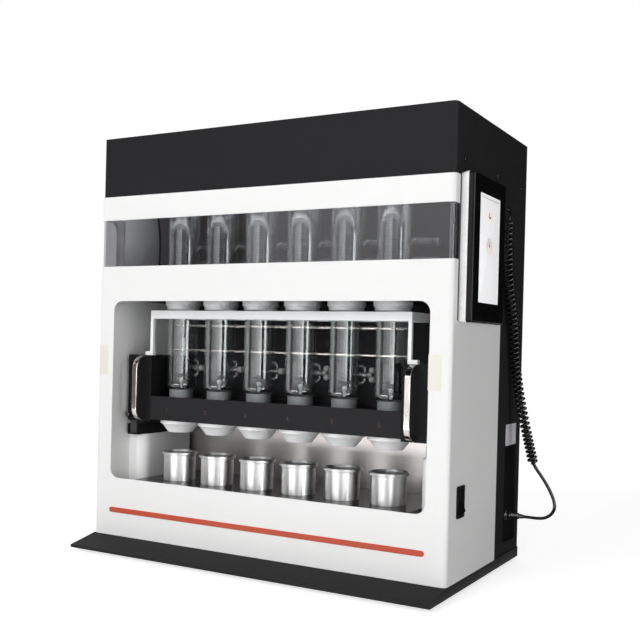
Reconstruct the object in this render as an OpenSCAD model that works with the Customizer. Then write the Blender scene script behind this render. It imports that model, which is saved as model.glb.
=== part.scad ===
// Bench extractor with six glass stations. A white and black cabinet holds a pull-out glass rack,
// a heating plate that lifts the cups, and coil condensers behind a smoked window. A hand
// controller on a coiled cord docks on the right side.
// Millimetres. Pieces are drawn with x = 0 on the cabinet's middle, y = 0 on its front face and
// z = 0 under the base plate. at_origin() then moves them over the middle of the footprint.

/* [Stations] */
// Distance between neighbouring stations
station_pitch = 87; // [84:1:96]
// Distance of the station row behind the front face
station_y = 80; // [76:1:88]

/* [Cups] */
// Outer diameter of a cup
cup_od = 60; // [52:1:64]
// Height of a cup
cup_h = 53; // [44:1:60]
// Wall of a cup
cup_wall = 1.5; // [1:0.1:2.5]
// Diameter of the rolled bead round a cup's mouth
cup_bead = 5; // [4:0.5:6]
// How far the middle of the bead stands out from the cup's side
bead_out = 1.5; // [0:0.1:2]

/* [Glass] */
// Outer diameter of an extraction tube
tube_od = 58; // [52:1:60]
// Wall of the glass
glass_wall = 2.2; // [1.6:0.1:3]
// Length of a tube above its shoulder
tube_len = 131; // [110:1:150]
// Height of the rounded shoulder
shoulder_h = 12; // [8:1:16]
// Outer diameter of the ground neck
neck_od = 45; // [40:1:48]
// Length of the neck that shows above the rack
neck_show = 13; // [8:1:20]
// Outer diameter of the inner cup that holds the thimble
holder_od = 33; // [28:1:34]
// Height of the inner cup
holder_h = 50; // [30:1:60]
// Outer diameter of the thin glass arms
arm_d = 6; // [5:0.5:7]
// Outer diameter of a condenser jacket
jacket_od = 60; // [54:1:64]
// Length of the straight part of a condenser jacket
jacket_len = 154; // [140:1:160]
// Diameter of the tube of a condenser coil
coil_tube_d = 8; // [6:0.5:9]
// Turns of a condenser coil
coil_turns = 5; // [4:1:6]

/* [Rack] */
// Space between the last tube and the end cheek
row_end_gap = 9.5; // [6:0.5:20]
// Width of an end cheek
cheek_w = 55; // [48:1:65]
// Height of an end cheek
cheek_h = 124; // [115:1:135]
// Depth of an end cheek
cheek_depth = 150; // [135:1:152]
// Height of the front bar
bar_h = 44; // [38:1:50]
// Sheet thickness of the rack
rack_sheet = 2.5; // [2:0.1:3]
// How far the handles bow forward of the cheeks
handle_reach = 25; // [20:1:36]
// Width of the handle strip
handle_w = 10; // [8:1:14]
// Thickness of the handle strip
handle_t = 4; // [3:0.5:5]
// Height of the white top frame
frame_h = 15; // [12:1:18]
// Width of a frame leg
frame_leg = 6; // [5:0.5:8]
// Diameter of the retaining rods
rod_d = 5; // [4:0.5:6]
// How far the rack pulls out
rack_travel = 120; // [100:5:125]

/* [Seals] */
// Diameter of the seal's flange
seal_od = 75; // [70:1:76]
// Thickness of the seal's flange
seal_flange = 7; // [5:0.5:9]
// Height of the seal's cone
seal_cone_h = 16; // [12:1:18]
// Diameter at the tip of the cone
seal_tip_d = 48; // [47:1:50]

/* [Heating plate] */
// Thickness of the heating plate
plate_t = 6; // [4:0.5:8]
// Space for the lift under the heating plate
lift_room = 97.5; // [96:0.5:110]
// How far the sill stands above the heating plate
sill_rise = 3.5; // [0:0.5:5]
// How far the plate lifts the cups
lift_travel = 44; // [40:1:44]
// Diameter of the lead screw
screw_d = 12; // [10:1:14]
// Diameter of the guide rods
guide_d = 12; // [10:1:14]

/* [Cabinet] */
// Thickness of the base plate
base_t = 17.5; // [12:0.5:22]
// Reach of the base plate in front of the front face
base_lip = 61; // [40:1:80]
// Thickness of the lip at its front edge
lip_edge = 5; // [3:0.5:8]
// Height of the rubber feet
foot_h = 6; // [4:0.5:12]
// Depth from the front face to the back
body_depth = 360; // [340:1:400]
// Depth of the bay
bay_depth = 205; // [204:1:215]
// Width of the white face beside the bay opening
bay_post = 36.5; // [28:0.5:45]
// Space between the rack and the opening's edge
rack_side_gap = 6; // [4:0.5:10]
// Depth of the white shell's sides
shell_depth = 226; // [215:1:240]
// Wall of the white shell
shell_wall = 2; // [1.5:0.1:3]
// Radius of the vertical front corners
corner_r = 8; // [6:0.5:12]
// Radius of the bay opening's corners
bay_corner_r = 18; // [12:1:24]
// Height of the window slot
window_h = 86.2; // [76:0.2:96]
// White face between the bay ceiling and the window slot
window_rise = 58.5; // [50:0.5:65]
// White face above the window slot
window_head = 43.8; // [36:0.2:50]
// How far the window slot runs back on the sides
window_return = 42; // [32:1:50]
// Height of the black cover above the white shell
cap_h = 109.5; // [90:0.5:130]
// Wall of the black cover
cover_wall = 2; // [1.5:0.1:3]
// How far the black cover steps in from the white shell
cover_inset = 1.5; // [0.5:0.1:1.8]
// Width of a side pedestal
pedestal_w = 34; // [32:1:40]
// Height of the accent strip's middle above the base's underside
accent_z = 65; // [45:1:90]
// Height of the accent strip
accent_h = 9.5; // [6:0.5:14]

/* [Controller] */
// Depth of the controller along the cabinet's side
pad_w = 151.5; // [130:0.5:160]
// Height of the controller
pad_h = 232; // [220:1:250]
// Thickness of the white back
pad_back_t = 13; // [10:0.5:16]
// Thickness of the black bezel
pad_bezel_t = 10; // [8:0.5:12]
// Screen width
screen_w = 93; // [80:1:100]
// Screen height
screen_h = 170; // [150:1:180]

/* [Hidden] */
$fn = 64;

stations = 6;
running = 0.08;      // radial clearance of a shaft in its bore
seat_gap = 0.3;      // clearance between curved faces of pieces that move apart
slip = 0.25;         // radial clearance of a loose glass or rubber fit
cut = 1;             // overshoot of a cut

// Widths, from the row of stations outwards
row_half = station_pitch * (stations - 1) / 2;
tray_half = row_half + tube_od / 2 + row_end_gap;
cheek_x = tray_half + cheek_w;
bay_half = cheek_x + rack_side_gap;
cab_half = bay_half + bay_post;
pedestal_x = bay_half - pedestal_w;
rail_x = bay_half - pedestal_w / 2;
plate_half = pedestal_x - 3;
cover_half = cab_half - cover_inset;

// Heights, from the base plate up
plate_z = base_t + lift_room;
floor_z = plate_z + plate_t;
sill_z = floor_z + sill_rise;
rim_z = floor_z + cup_h;
seal_entry = 7;
seal_z = rim_z + lift_travel - seal_entry;
bar_z = seal_z + seal_cone_h + seal_flange;
bar_top = bar_z + bar_h;
deck_z = bar_top - 2;
shoulder_z = bar_top + neck_show;
tube_z = shoulder_z + shoulder_h;
tube_top = tube_z + tube_len;
frame_top = tube_top + 4;
cheek_z = bar_z - 4;
cheek_top = cheek_z + cheek_h;
rail_h = 20;
rail_wall = 3;
rail_z = cheek_z - 27;
collar_h = 16;
collar_z = frame_top + 2;
ceiling_z = collar_z + collar_h;
ceiling_t = 3;
ceiling_top = ceiling_z + ceiling_t;
bay_top = ceiling_z - 2.7;
window_z = ceiling_top + window_rise;
shell_top = window_z + window_h + window_head;
cab_h = shell_top + cap_h;

// Depths, from the front face back
tray_front = station_y - 42.5;
tray_back = station_y + 50.5;
cheek_front = tray_front + 0.5;
cheek_back = cheek_front + cheek_depth;
rail_front = cheek_front + 2;
rail_back = bay_depth - 15;
pedestal_front = rail_front + 12;
pedestal_back = bay_depth - 10;
panel_t = 2;
rear_t = 2;

// Water: two pipes behind the condensers, with side arms on each jacket
jacket_z = ceiling_top + 15;
water_z = [window_z + 9, window_z + 41];
water_bend = 12;
arm_reach = jacket_od / 2 + 10;
pipe_d = 14;
pipe_y = station_y + 48;
feed_x = row_half + 37;
feed_d = 12;
tail_d = 10;
tail_len = 20;
port_shoulder = 5;
port_reach = port_shoulder + tail_len;

// Lift under the heating plate
lift_y = station_y + 50;
motor_w = 56;
motor_top = base_t + 39.5;
bracket_z = motor_top + 9;
bracket_t = 6;
guide_x = 120;
post_x = row_half - 17.5;
screw_lead = 8;

// Controller: placed from the shell's front and top
pad_y = 19.5;
pad_z = shell_top - pad_h + 5.5;
pad_x = cab_half;
pad_face = pad_x + pad_back_t + pad_bezel_t;
pad_mid_y = pad_y + pad_w / 2;
pad_mid_z = pad_z + pad_h / 2;
screen_mid_z = pad_mid_z + 1.5;
dock_t = 4;
dock_w = 80;
dock_h = 140;
dock_gap = 0.5;
gland_x = cab_half + 16;
gland_z = 620;
gland_len = 19;

// Right side: power rocker and jack
switch_y = 52;
switch_z = 142;
switch_w = 32;
switch_h = 50;
rocker_tilt = 10;
jack_y = 293;
jack_z = 86;
recess_depth = 2.5;
recess_y = [274, 340];
recess_z = [38, 212];
socket_len = 5;
plug_len = 29;

// Rear: fan, mains inlet and the box behind the bay
fan_x = -180;
fan_z = 330;
fan_w = 120;
fan_t = 25;
fan_bore = 114;
inlet_x = 200;
inlet_z = 70;
inlet_w = 48;
inlet_h = 28;
inlet_flange = 3;

// Footprint of the part without the cord, whose middle is the origin
rear_reach = body_depth + port_reach;
centre_x = (pad_face - cab_half) / 2;
centre_y = (rear_reach - base_lip) / 2;

// Coiled cord: straight lead, curls round the hanging axis, plain tail to the plug.
// Its points are measured from the cabinet's right side
cord_d = 5.6;
curl_od = 18.5;
curls = 52;
cord_points = [[16, 190.5, 620], [16, 198, 620], [15.5, 213, 618], [12, 225, 606],
               [10.5, 226, 572], [10.5, 230, 538], [10.5, 236, 504], [10.5, 248, 471], [10.5, 263, 439],
               [10.5, 274, 405], [10.5, 282, 371], [11.5, 290, 338], [16, 293, 304], [23, 293, 270],
               [31, 293, 236], [38, 293, 208], [46, 293, 180],
               [60, 293, 160], [69, 293, 147], [78, 293, 131], [83, 293, 118], [84, 293, 106],
               [78, 293, 95], [67, 293, 88], [54, 293, 86], [42, 293, 86], [30, 293, 86]];
cord_route = [for (p = cord_points) p + [cab_half, 0, 0]];
curl_from = 3;
curl_to = 16;
rings_per_curl = 8;
cord_sides = 6;

white_paint = "#F4F4F2";
black_paint = "#232326";
charcoal = "#2E2D31";
steel_colour = "#B9B4AE";
glass_colour = "#C9D6DA";
chrome_colour = "#D8D8D6";

function station_x(i) = (i - (stations - 1) / 2) * station_pitch;
function unit(v) = v / norm(v);
function ramp(t) = let (s = min(max(t, 0), 1)) s * s * (3 - 2 * s);

// Moves a piece from the drawing frame to the part's origin
module at_origin() translate([-centre_x, -centre_y, foot_h]) children();

// A copy on the left for what is drawn on the right
module both_sides() {
    children();
    mirror([1, 0, 0]) children();
}

// One copy at each station
module at_stations() {
    for (i = [0 : stations - 1]) translate([station_x(i), station_y, 0]) children();
}

// A box between two corners
module block(low, high) translate(low) cube(high - low);

// Sweeps a profile drawn in y and z along x
module along_x(x0, x1) translate([x0, 0, 0]) rotate([90, 0, 90]) linear_extrude(x1 - x0) children();

// Sweeps a profile drawn in x and z along y
module along_y(y0, y1) translate([0, y1, 0]) rotate([90, 0, 0]) linear_extrude(y1 - y0) children();

// A round bar along y
module bar_y(d, y0, y1) translate([0, y0, 0]) rotate([-90, 0, 0]) cylinder(d = d, h = y1 - y0);

// A round bar along x
module bar_x(d, x0, x1) translate([x0, 0, 0]) rotate([0, 90, 0]) cylinder(d = d, h = x1 - x0);

// A rectangle with round corners, about its middle
module rounded(w, h, r) {
    square([w, h - 2 * r], center = true);
    square([w - 2 * r, h], center = true);
    for (x = [-1, 1], y = [-1, 1]) translate([x * (w / 2 - r), y * (h / 2 - r)]) circle(r);
}

// A footprint with round front corners and a straight back
module front_rounded(half, depth, r) {
    translate([-half, r]) square([2 * half, depth - r]);
    translate([r - half, 0]) square([2 * (half - r), 2 * r]);
    for (x = [-1, 1]) translate([x * (half - r), r]) circle(r);
}

// A tube swept along a path, with a normal for each ring
module swept_tube(path, normals, d, sides) {
    n = len(path);
    rings = [for (k = [0 : n - 1])
        let (t = unit(path[min(k + 1, n - 1)] - path[max(k - 1, 0)]),
             u = unit(normals[k] - (normals[k] * t) * t),
             v = cross(t, u))
        for (s = [0 : sides - 1])
            path[k] + d / 2 * (cos(360 * s / sides) * u + sin(360 * s / sides) * v)];
    walls = [for (k = [0 : n - 2], s = [0 : sides - 1])
        let (a = k * sides + s, b = k * sides + (s + 1) % sides)
        each [[a, a + sides, b], [b, a + sides, b + sides]]];
    first_cap = [for (s = [1 : sides - 2]) [0, s, s + 1]];
    last = (n - 1) * sides;
    last_cap = [for (s = [1 : sides - 2]) [last, last + s + 1, last + s]];
    polyhedron(rings, concat(walls, first_cap, last_cap));
}

// Smallest gap between the turns of a wound path, measured on its points
function own_gap(path, d, per_turn) =
    min([for (k = [0 : len(path) - 1], j = [per_turn - 3 : per_turn + 3])
        if (k + j < len(path)) norm(path[k + j] - path[k])]) - d;

// Cabinet

foot_inset = 45;
foot_d = 36;
base_skin = 3;
module base_plate() at_origin() color(charcoal) difference() {
    along_x(-cab_half, cab_half)
        polygon([[-base_lip, 0], [body_depth, 0], [body_depth, base_t], [0, base_t],
                 [-base_lip, lip_edge]]);
    // hollow underneath, between the rows of feet
    block([-cab_half + foot_inset + foot_d / 2 + 4, 0, -cut],
          [cab_half - foot_inset - foot_d / 2 - 4, body_depth - 12, base_t - base_skin]);
}

module rubber_feet() at_origin() color("#1B1B1B")
    for (x = [foot_inset - cab_half, cab_half - foot_inset], y = [foot_inset - 25, body_depth - foot_inset])
        translate([x, y, -foot_h]) difference() {
            cylinder(d1 = foot_d, d2 = foot_d - 3, h = foot_h);
            translate([0, 0, -cut]) cylinder(d = foot_d / 2.5, h = cut + 2);
        }

// Opening in the shell for the window, run round both front corners
module window_cut(extra) {
    r = 14;
    rear = window_return + extra;
    low = window_z - extra;
    high = window_z + window_h + extra;
    along_x(-cab_half - cut, cab_half + cut) {
        translate([-cut, low]) square([rear - r + cut, high - low]);
        translate([0, low + r]) square([rear, high - low - 2 * r]);
        for (z = [low + r, high - r]) translate([rear - r, z]) circle(r);
    }
}

module front_shell() at_origin() color(white_paint) difference() {
    translate([0, 0, base_t]) linear_extrude(shell_top - base_t) difference() {
        front_rounded(cab_half, shell_depth, corner_r);
        translate([0, shell_wall])
            front_rounded(cab_half - shell_wall, shell_depth, corner_r - shell_wall);
    }
    along_y(-cut, shell_wall + cut) translate([0, (sill_z + bay_top) / 2])
        rounded(2 * bay_half, bay_top - sill_z, bay_corner_r);
    window_cut(0);
    along_x(cab_half - shell_wall - cut, cab_half + cut)
        translate([switch_y, switch_z]) square([switch_w - 4, switch_h - 4], center = true);
}

// Hood: a cap over the whole depth and two sides behind the white shell
module top_cover() at_origin() color(black_paint) difference() {
    union() {
        difference() {
            union() {
                translate([0, cover_inset, shell_top]) linear_extrude(cap_h)
                    front_rounded(cover_half, body_depth - cover_inset, corner_r);
                block([-cover_half, shell_depth, base_t], [cover_half, body_depth, shell_top + cut]);
            }
            translate([0, cover_inset + cover_wall, shell_top - cut])
                linear_extrude(cap_h - cover_wall + cut)
                    front_rounded(cover_half - cover_wall, body_depth, corner_r - cover_wall);
            block([cover_wall - cover_half, shell_depth - cut, base_t - cut],
                  [cover_half - cover_wall, body_depth + cut, shell_top + 2 * cut]);
        }
        block([cover_half - cover_wall - recess_depth, recess_y[0] - 3, recess_z[0] - 3],
              [cover_half - cover_wall / 2, recess_y[1] + 3, recess_z[1] + 3]);
    }
    block([cover_half - recess_depth, recess_y[0], recess_z[0]],
          [cover_half + cut, recess_y[1], recess_z[1]]);
    translate([0, jack_y, jack_z])
        bar_x(10, cover_half - cover_wall - recess_depth - cut, cover_half + cut);
}

rear_half = cover_half - cover_wall;
slot_pitch = 11;
slot_w = 5;
vent_x = [90, 190];
vent_z = 280;
module rear_panel() at_origin() color(black_paint) difference() {
    block([-rear_half, body_depth - rear_t, base_t], [rear_half, body_depth, cab_h - cover_wall]);
    // fan grille: upright slots cut to the round of the bore
    for (k = [-4 : 4]) let (half = sqrt(pow(fan_bore / 2 - 4, 2) - pow(k * slot_pitch, 2)))
        block([fan_x + k * slot_pitch - slot_w / 2, body_depth - rear_t - cut, fan_z - half],
              [fan_x + k * slot_pitch + slot_w / 2, body_depth + cut, fan_z + half]);
    // vent slots on the other side
    for (k = [0 : 7])
        block([vent_x[0], body_depth - rear_t - cut, vent_z + k * slot_pitch],
              [vent_x[1], body_depth + cut, vent_z + k * slot_pitch + slot_w]);
    for (z = water_z) translate([feed_x, 0, z])
        bar_y(feed_d + 2 * slip, body_depth - rear_t - cut, body_depth + cut);
    block([inlet_x - inlet_w / 2, body_depth - rear_t - cut, inlet_z - inlet_h / 2],
          [inlet_x + inlet_w / 2, body_depth + cut, inlet_z + inlet_h / 2]);
}

pane_t = 3;
pane_lap = 8;
module condenser_window() at_origin() color("#4A4A4E")
    translate([0, shell_wall, window_z - pane_lap]) linear_extrude(window_h + 2 * pane_lap) difference() {
        front_rounded(cab_half - shell_wall, window_return + 2 * pane_lap, corner_r - shell_wall);
        translate([0, pane_t])
            front_rounded(cab_half - shell_wall - pane_t, window_return + 2 * pane_lap,
                          corner_r - shell_wall - pane_t / 2);
    }

accent_t = 0.8;
module accent_strip() at_origin() color("#C9432B")
    along_y(-accent_t, 0) translate([0, accent_z])
        rounded(2 * bay_half, accent_h, accent_h / 2 - 0.01);

// Bay

module bay_sides() at_origin() color(white_paint) both_sides()
    block([bay_half, shell_wall, base_t], [bay_half + panel_t, bay_depth, ceiling_z]);

splash_top = cheek_z + 60;
module splash_panel() at_origin() color(steel_colour)
    block([-bay_half - panel_t, bay_depth, base_t],
          [bay_half + panel_t, bay_depth + panel_t, splash_top]);

module bay_back() at_origin() color(black_paint) difference() {
    union() {
        block([-bay_half - panel_t, bay_depth, splash_top],
              [bay_half + panel_t, bay_depth + panel_t, ceiling_top]);
        block([shell_wall - cab_half, bay_depth, ceiling_top],
              [cab_half - shell_wall, bay_depth + panel_t, shell_top - 4]);
    }
    for (z = water_z) translate([feed_x, 0, z])
        bar_y(feed_d + 2 * slip, bay_depth - cut, bay_depth + panel_t + cut);
}

collar_bore = 41;
module bay_ceiling() at_origin() color(black_paint) difference() {
    block([corner_r - cab_half, shell_wall, ceiling_z],
          [cab_half - corner_r, bay_depth, ceiling_top]);
    at_stations() translate([0, 0, ceiling_z - cut]) cylinder(d = collar_bore, h = ceiling_t + 2 * cut);
}

pedestal_r = 20;
pedestal_wall = 2;
// Footprint of the right pedestal, drawn in by a wall
module pedestal_plan(off) {
    x0 = pedestal_x + off;
    x1 = bay_half - off;
    y0 = pedestal_front + off;
    y1 = pedestal_back - off;
    r = pedestal_r - off;
    translate([x0, y0 + r]) square([x1 - x0, y1 - y0 - r]);
    translate([x0 + r, y0]) square([x1 - x0 - r, r + cut]);
    translate([x0 + r, y0 + r]) intersection() {
        circle(r);
        translate([-r, -r]) square([r, r + cut]);
    }
}

module rail_pedestals() at_origin() color(white_paint) both_sides() difference() {
    translate([0, 0, base_t]) linear_extrude(rail_z - base_t) pedestal_plan(0);
    translate([0, 0, base_t - cut]) linear_extrude(rail_z - base_t - pedestal_wall + cut)
        pedestal_plan(pedestal_wall);
}

rail_w = 24;
runner_w = 15;
rail_setback = 28;
// Front end of a rail: the left one reaches the rack's lock, the right one stops short of it
function rail_start(side) = rail_front + (side > 0 ? rail_setback : 0);
module guide_rails() at_origin() color(black_paint) for (side = [-1, 1])
    translate([side * rail_x, 0, 0]) difference() {
        block([-rail_w / 2, rail_start(side), rail_z], [rail_w / 2, rail_back, rail_z + rail_h]);
        block([rail_wall - rail_w / 2, rail_start(side) - cut, rail_z + rail_wall],
              [rail_w / 2 - rail_wall, rail_back + cut, rail_z + rail_h + cut]);
    }

// Condensers

module condenser_collars() at_origin() color("#C4C8C8") at_stations()
    translate([0, 0, collar_z]) rotate_extrude()
        polygon([[collar_bore / 2, 0], [30, 0], [31, 1], [31, 6], [31.5, 7], [32, 7], [33, 8.5],
                 [33, collar_h], [collar_bore / 2, collar_h]]);

condenser_neck_d = 40;
jacket_neck_d = 24;
// Outline of a jacket from its lower neck to its upper neck, drawn in by a wall
function jacket_side(off) = let (r = jacket_od / 2 - off, low = condenser_neck_d / 2 - off,
                                 high = jacket_neck_d / 2 - off, top = jacket_z + jacket_len)
    concat([[low, collar_z + 3], [low, jacket_z - 12]],
           [for (a = [0 : 15 : 90]) [low + (r - low) * sin(a), jacket_z - 12 * cos(a)]],
           [for (a = [0 : 15 : 90]) [high + (r - high) * cos(a), top + 12 * sin(a)]],
           [[high, top + 28]]);

// A round stub that runs out of a jacket or a tube
module jacket_arm(z) translate([0, 0, z]) difference() {
    bar_x(arm_d + 1, jacket_od / 2 - glass_wall, arm_reach);
    bar_x(arm_d - 2, jacket_od / 2 - glass_wall - cut, arm_reach + cut);
}

module condenser_jackets() at_origin() color(glass_colour) at_stations() {
    outer = jacket_side(0);
    inner = jacket_side(glass_wall);
    rotate_extrude() {
        polygon(concat(outer, [for (k = [len(inner) - 1 : -1 : 0]) inner[k]]));
        // bridges that the coil's two ends are fused to
        translate([coil_tube_d / 4, jacket_z - 15]) square([condenser_neck_d / 2 - coil_tube_d / 4 - 1, 3]);
        translate([coil_tube_d / 4, jacket_z + jacket_len + 12])
            square([jacket_neck_d / 2 - coil_tube_d / 4 - 1, 3]);
    }
    for (z = water_z) jacket_arm(z);
}

coil_r = 17;
coil_low = jacket_z - 12 + 2 * coil_tube_d;
coil_high = jacket_z + jacket_len + 12 - 2 * coil_tube_d;
coil_steps = coil_turns * rings_per_curl;
function coil_radius(k) = coil_r * ramp(min(k, coil_steps - k) / (rings_per_curl - 2));
function coil_out(k) = [cos(360 * k / rings_per_curl), sin(360 * k / rings_per_curl), 0];
coil_path = concat(
    [[0, 0, coil_low - 2 * coil_tube_d], [0, 0, coil_low - coil_tube_d]],
    [for (k = [0 : coil_steps])
        coil_radius(k) * coil_out(k) + [0, 0, coil_low + (coil_high - coil_low) * k / coil_steps]],
    [[0, 0, coil_high + coil_tube_d], [0, 0, coil_high + 2 * coil_tube_d]]);
coil_normals = concat([coil_out(0), coil_out(0)], [for (k = [0 : coil_steps]) coil_out(k)],
                      [coil_out(coil_steps), coil_out(coil_steps)]);
module condenser_coils() at_origin() color(glass_colour) at_stations()
    swept_tube(coil_path, coil_normals, coil_tube_d, cord_sides);

bracket_x = [-140, 200];
module water_manifolds() at_origin() color(steel_colour) for (z = water_z) translate([0, 0, z]) {
    translate([0, pipe_y, 0])
        bar_x(pipe_d, water_bend + 20 - row_half, row_half + arm_reach + water_bend + 8);
    for (i = [0 : stations - 1]) translate([station_x(i) + arm_reach + water_bend, 0, 0])
        bar_y(arm_d + 3, pipe_y - pipe_d / 2 - 3, pipe_y);
    translate([feed_x, 0, 0]) bar_y(pipe_d + 2, pipe_y, pipe_y + pipe_d / 2 + 3);
    for (x = bracket_x) block([x - 5, pipe_y, -4], [x + 5, bay_depth, 4]);
}

hose_d = arm_d + 3;
module water_hoses() at_origin() color("#D5D9D8") at_stations() for (z = water_z) {
    translate([arm_reach, water_bend, z]) rotate([0, 0, -90])
        rotate_extrude(angle = 90) translate([water_bend, 0]) circle(d = hose_d);
    translate([arm_reach + water_bend, 0, z])
        bar_y(hose_d, water_bend, pipe_y - pipe_d / 2 - 3 - station_y);
}

module water_ports() at_origin() color("#C2A35A") for (z = water_z) translate([feed_x, 0, z])
    difference() {
        union() {
            bar_y(feed_d, pipe_y + pipe_d / 2 + 3, body_depth + port_shoulder);
            bar_y(feed_d + 6, body_depth, body_depth + port_shoulder);
            bar_y(tail_d, body_depth, rear_reach);
        }
        bar_y(tail_d - 4, body_depth - 40, rear_reach + cut);
    }

// Lift

module lift_motor() at_origin() color("#3A3A3C") translate([0, lift_y, base_t]) {
    difference() {
        linear_extrude(motor_top - base_t) rounded(motor_w, motor_w, 5);
        translate([0, 0, 9]) linear_extrude(motor_top - base_t - 18) difference() {
            square(motor_w + cut, center = true);
            rounded(motor_w - 3, motor_w - 3, 7);
        }
    }
}

module guide_rods() at_origin() color(chrome_colour)
    for (x = [-guide_x, guide_x]) translate([x, lift_y, base_t])
        cylinder(d = guide_d, h = plate_z - 2 - base_t);

module lead_screw() at_origin() color(steel_colour) translate([0, lift_y, motor_top])
    difference() {
        cylinder(d = screw_d, h = plate_z - 2 - motor_top);
        // flat on the end, so that its turning shows
        block([screw_d / 2 - 1.5, -screw_d, plate_z - 8 - motor_top],
              [screw_d, screw_d, plate_z - motor_top]);
    }

nut_d = 24;
module lift_nut() at_origin() color("#B8954A") translate([0, lift_y, bracket_z]) difference() {
    union() {
        translate([0, 0, -6]) cylinder(d = nut_d, h = bracket_t + 6);
        translate([0, 0, bracket_t]) cylinder(d = nut_d + 16, h = 6);
    }
    translate([0, 0, -6 - cut]) cylinder(d = screw_d + 2 * running, h = bracket_t + 12 + 2 * cut);
}

post_d = 12;
post_y = [station_y - 50, lift_y + 20];
module lift_bracket() at_origin() color("#8E8E90") difference() {
    union() {
        block([-post_x - 15, post_y[0] - 12, bracket_z],
              [post_x + 15, post_y[1] + 12, bracket_z + bracket_t]);
        for (x = [-post_x, post_x], y = post_y) translate([x, y, bracket_z])
            cylinder(d = post_d, h = plate_z - bracket_z);
        for (x = [-guide_x, guide_x]) translate([x, lift_y, bracket_z - 8])
            cylinder(d = guide_d + 10, h = bracket_t + 12);
    }
    translate([0, lift_y, bracket_z - cut]) cylinder(d = nut_d, h = bracket_t + 2 * cut);
    for (x = [-guide_x, guide_x]) translate([x, lift_y, bracket_z - 8 - cut])
        cylinder(d = guide_d + 2 * running, h = bracket_t + 12 + 2 * cut);
}

plate_front = 8;
pad_thick = 5;
module heating_plate() at_origin() color("#1D1C1F") {
    along_y(plate_front, bay_depth - 2)
        translate([0, plate_z + plate_t / 2]) rounded(2 * plate_half, plate_t, 1.5);
    // heater pads under the cups
    at_stations() translate([0, 0, plate_z - pad_thick]) cylinder(d = cup_od + 6, h = pad_thick + 1);
}

// Cups

bead_r = cup_bead / 2;
module cup(i) at_origin() color("#C9CACB") translate([station_x(i), station_y, floor_z])
    rotate_extrude() union() {
        difference() {
            translate([0, 0]) square([cup_od / 2 - 2, cup_h - bead_r]);
            translate([-cut, 2]) square([cup_od / 2 - cup_wall + cut, cup_h]);
        }
        translate([cup_od / 2 - cup_wall, 2]) square([cup_wall, cup_h - bead_r - 2]);
        translate([cup_od / 2 - 2, 2]) intersection() {
            circle(2);
            translate([0, -2]) square(2);
        }
        translate([cup_od / 2 + bead_out, cup_h - bead_r]) circle(bead_r);
    }

// Glass rack

module rack_tray() at_origin() color(charcoal) difference() {
    union() {
        block([-tray_half, tray_front, bar_z], [tray_half, tray_front + rack_sheet, bar_top]);
        block([-tray_half, tray_front, deck_z - rack_sheet], [tray_half, tray_back, deck_z]);
        block([-tray_half, tray_back - rack_sheet, bar_z], [tray_half, tray_back, cheek_top + 2]);
    }
    at_stations() translate([0, 0, deck_z - rack_sheet - cut])
        cylinder(d = neck_od + 2 * slip, h = rack_sheet + 2 * cut);
}

knob_x = tray_half + 50;
knob_z = cheek_z + 12;
knob_stem = 6;
cheek_t = 3;
module rack_cheeks() at_origin() color(black_paint) difference() {
    both_sides() {
        block([tray_half, cheek_front, cheek_z], [cheek_x, cheek_front + cheek_t, cheek_top]);
        block([tray_half, cheek_front, cheek_z], [tray_half + cheek_t, cheek_back, cheek_top]);
        block([tray_half, cheek_front, cheek_top - cheek_t], [cheek_x, cheek_back, cheek_top]);
        block([tray_half, cheek_front, cheek_z], [cheek_x, cheek_back, cheek_z + cheek_t]);
    }
    translate([-knob_x, 0, knob_z]) bar_y(knob_stem + 2 * running, 0, cheek_front + cheek_t + cut);
    // window for the side arm of the last tube
    block([tray_half - cut, station_y - 12, arm_z - 26],
          [tray_half + cheek_t + cut, station_y + 12, arm_z + 18]);
}

// Quarter-turn lock of the rack, on the left cheek
module lock_knob() at_origin() color(chrome_colour) translate([-knob_x, cheek_front, knob_z]) {
    difference() {
        bar_y(10, -9, 0);
        block([-6, -9 - cut, -0.6], [6, -7.5, 0.6]);
    }
    bar_y(knob_stem, -1, cheek_t + 6);
    block([-3, cheek_t + 2, -3], [3, cheek_t + 5, 8]);
}

module rack_runners() at_origin() color("#6E6E70") for (side = [-1, 1])
    translate([side * rail_x, 0, 0])
        block([-runner_w / 2, rail_start(side) + 2, rail_z + rail_wall],
              [runner_w / 2, cheek_back - 2, cheek_z]);

handle_x = tray_half + 20;
handle_r = handle_reach - 1;
handle_low = cheek_z + 1;
handle_high = cheek_top - 1;
// A quarter of a strip bent to a radius, about its own centre
module quarter_bend() intersection() {
    difference() {
        circle(handle_r);
        circle(handle_r - handle_t);
    }
    translate([-handle_r, -handle_r]) square(handle_r);
}

module grab_handles() at_origin() color(chrome_colour) both_sides()
    along_x(handle_x - handle_w / 2, handle_x + handle_w / 2) translate([cheek_front - handle_reach, 0]) {
        translate([0, handle_low + handle_r]) square([handle_t, handle_high - handle_low - 2 * handle_r]);
        translate([handle_r, handle_low + handle_r]) quarter_bend();
        translate([handle_r, handle_high - handle_r]) mirror([0, 1]) quarter_bend();
        for (z = [handle_low, handle_high - handle_t])
            translate([handle_r, z]) square([handle_reach - handle_r, handle_t]);
    }

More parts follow.
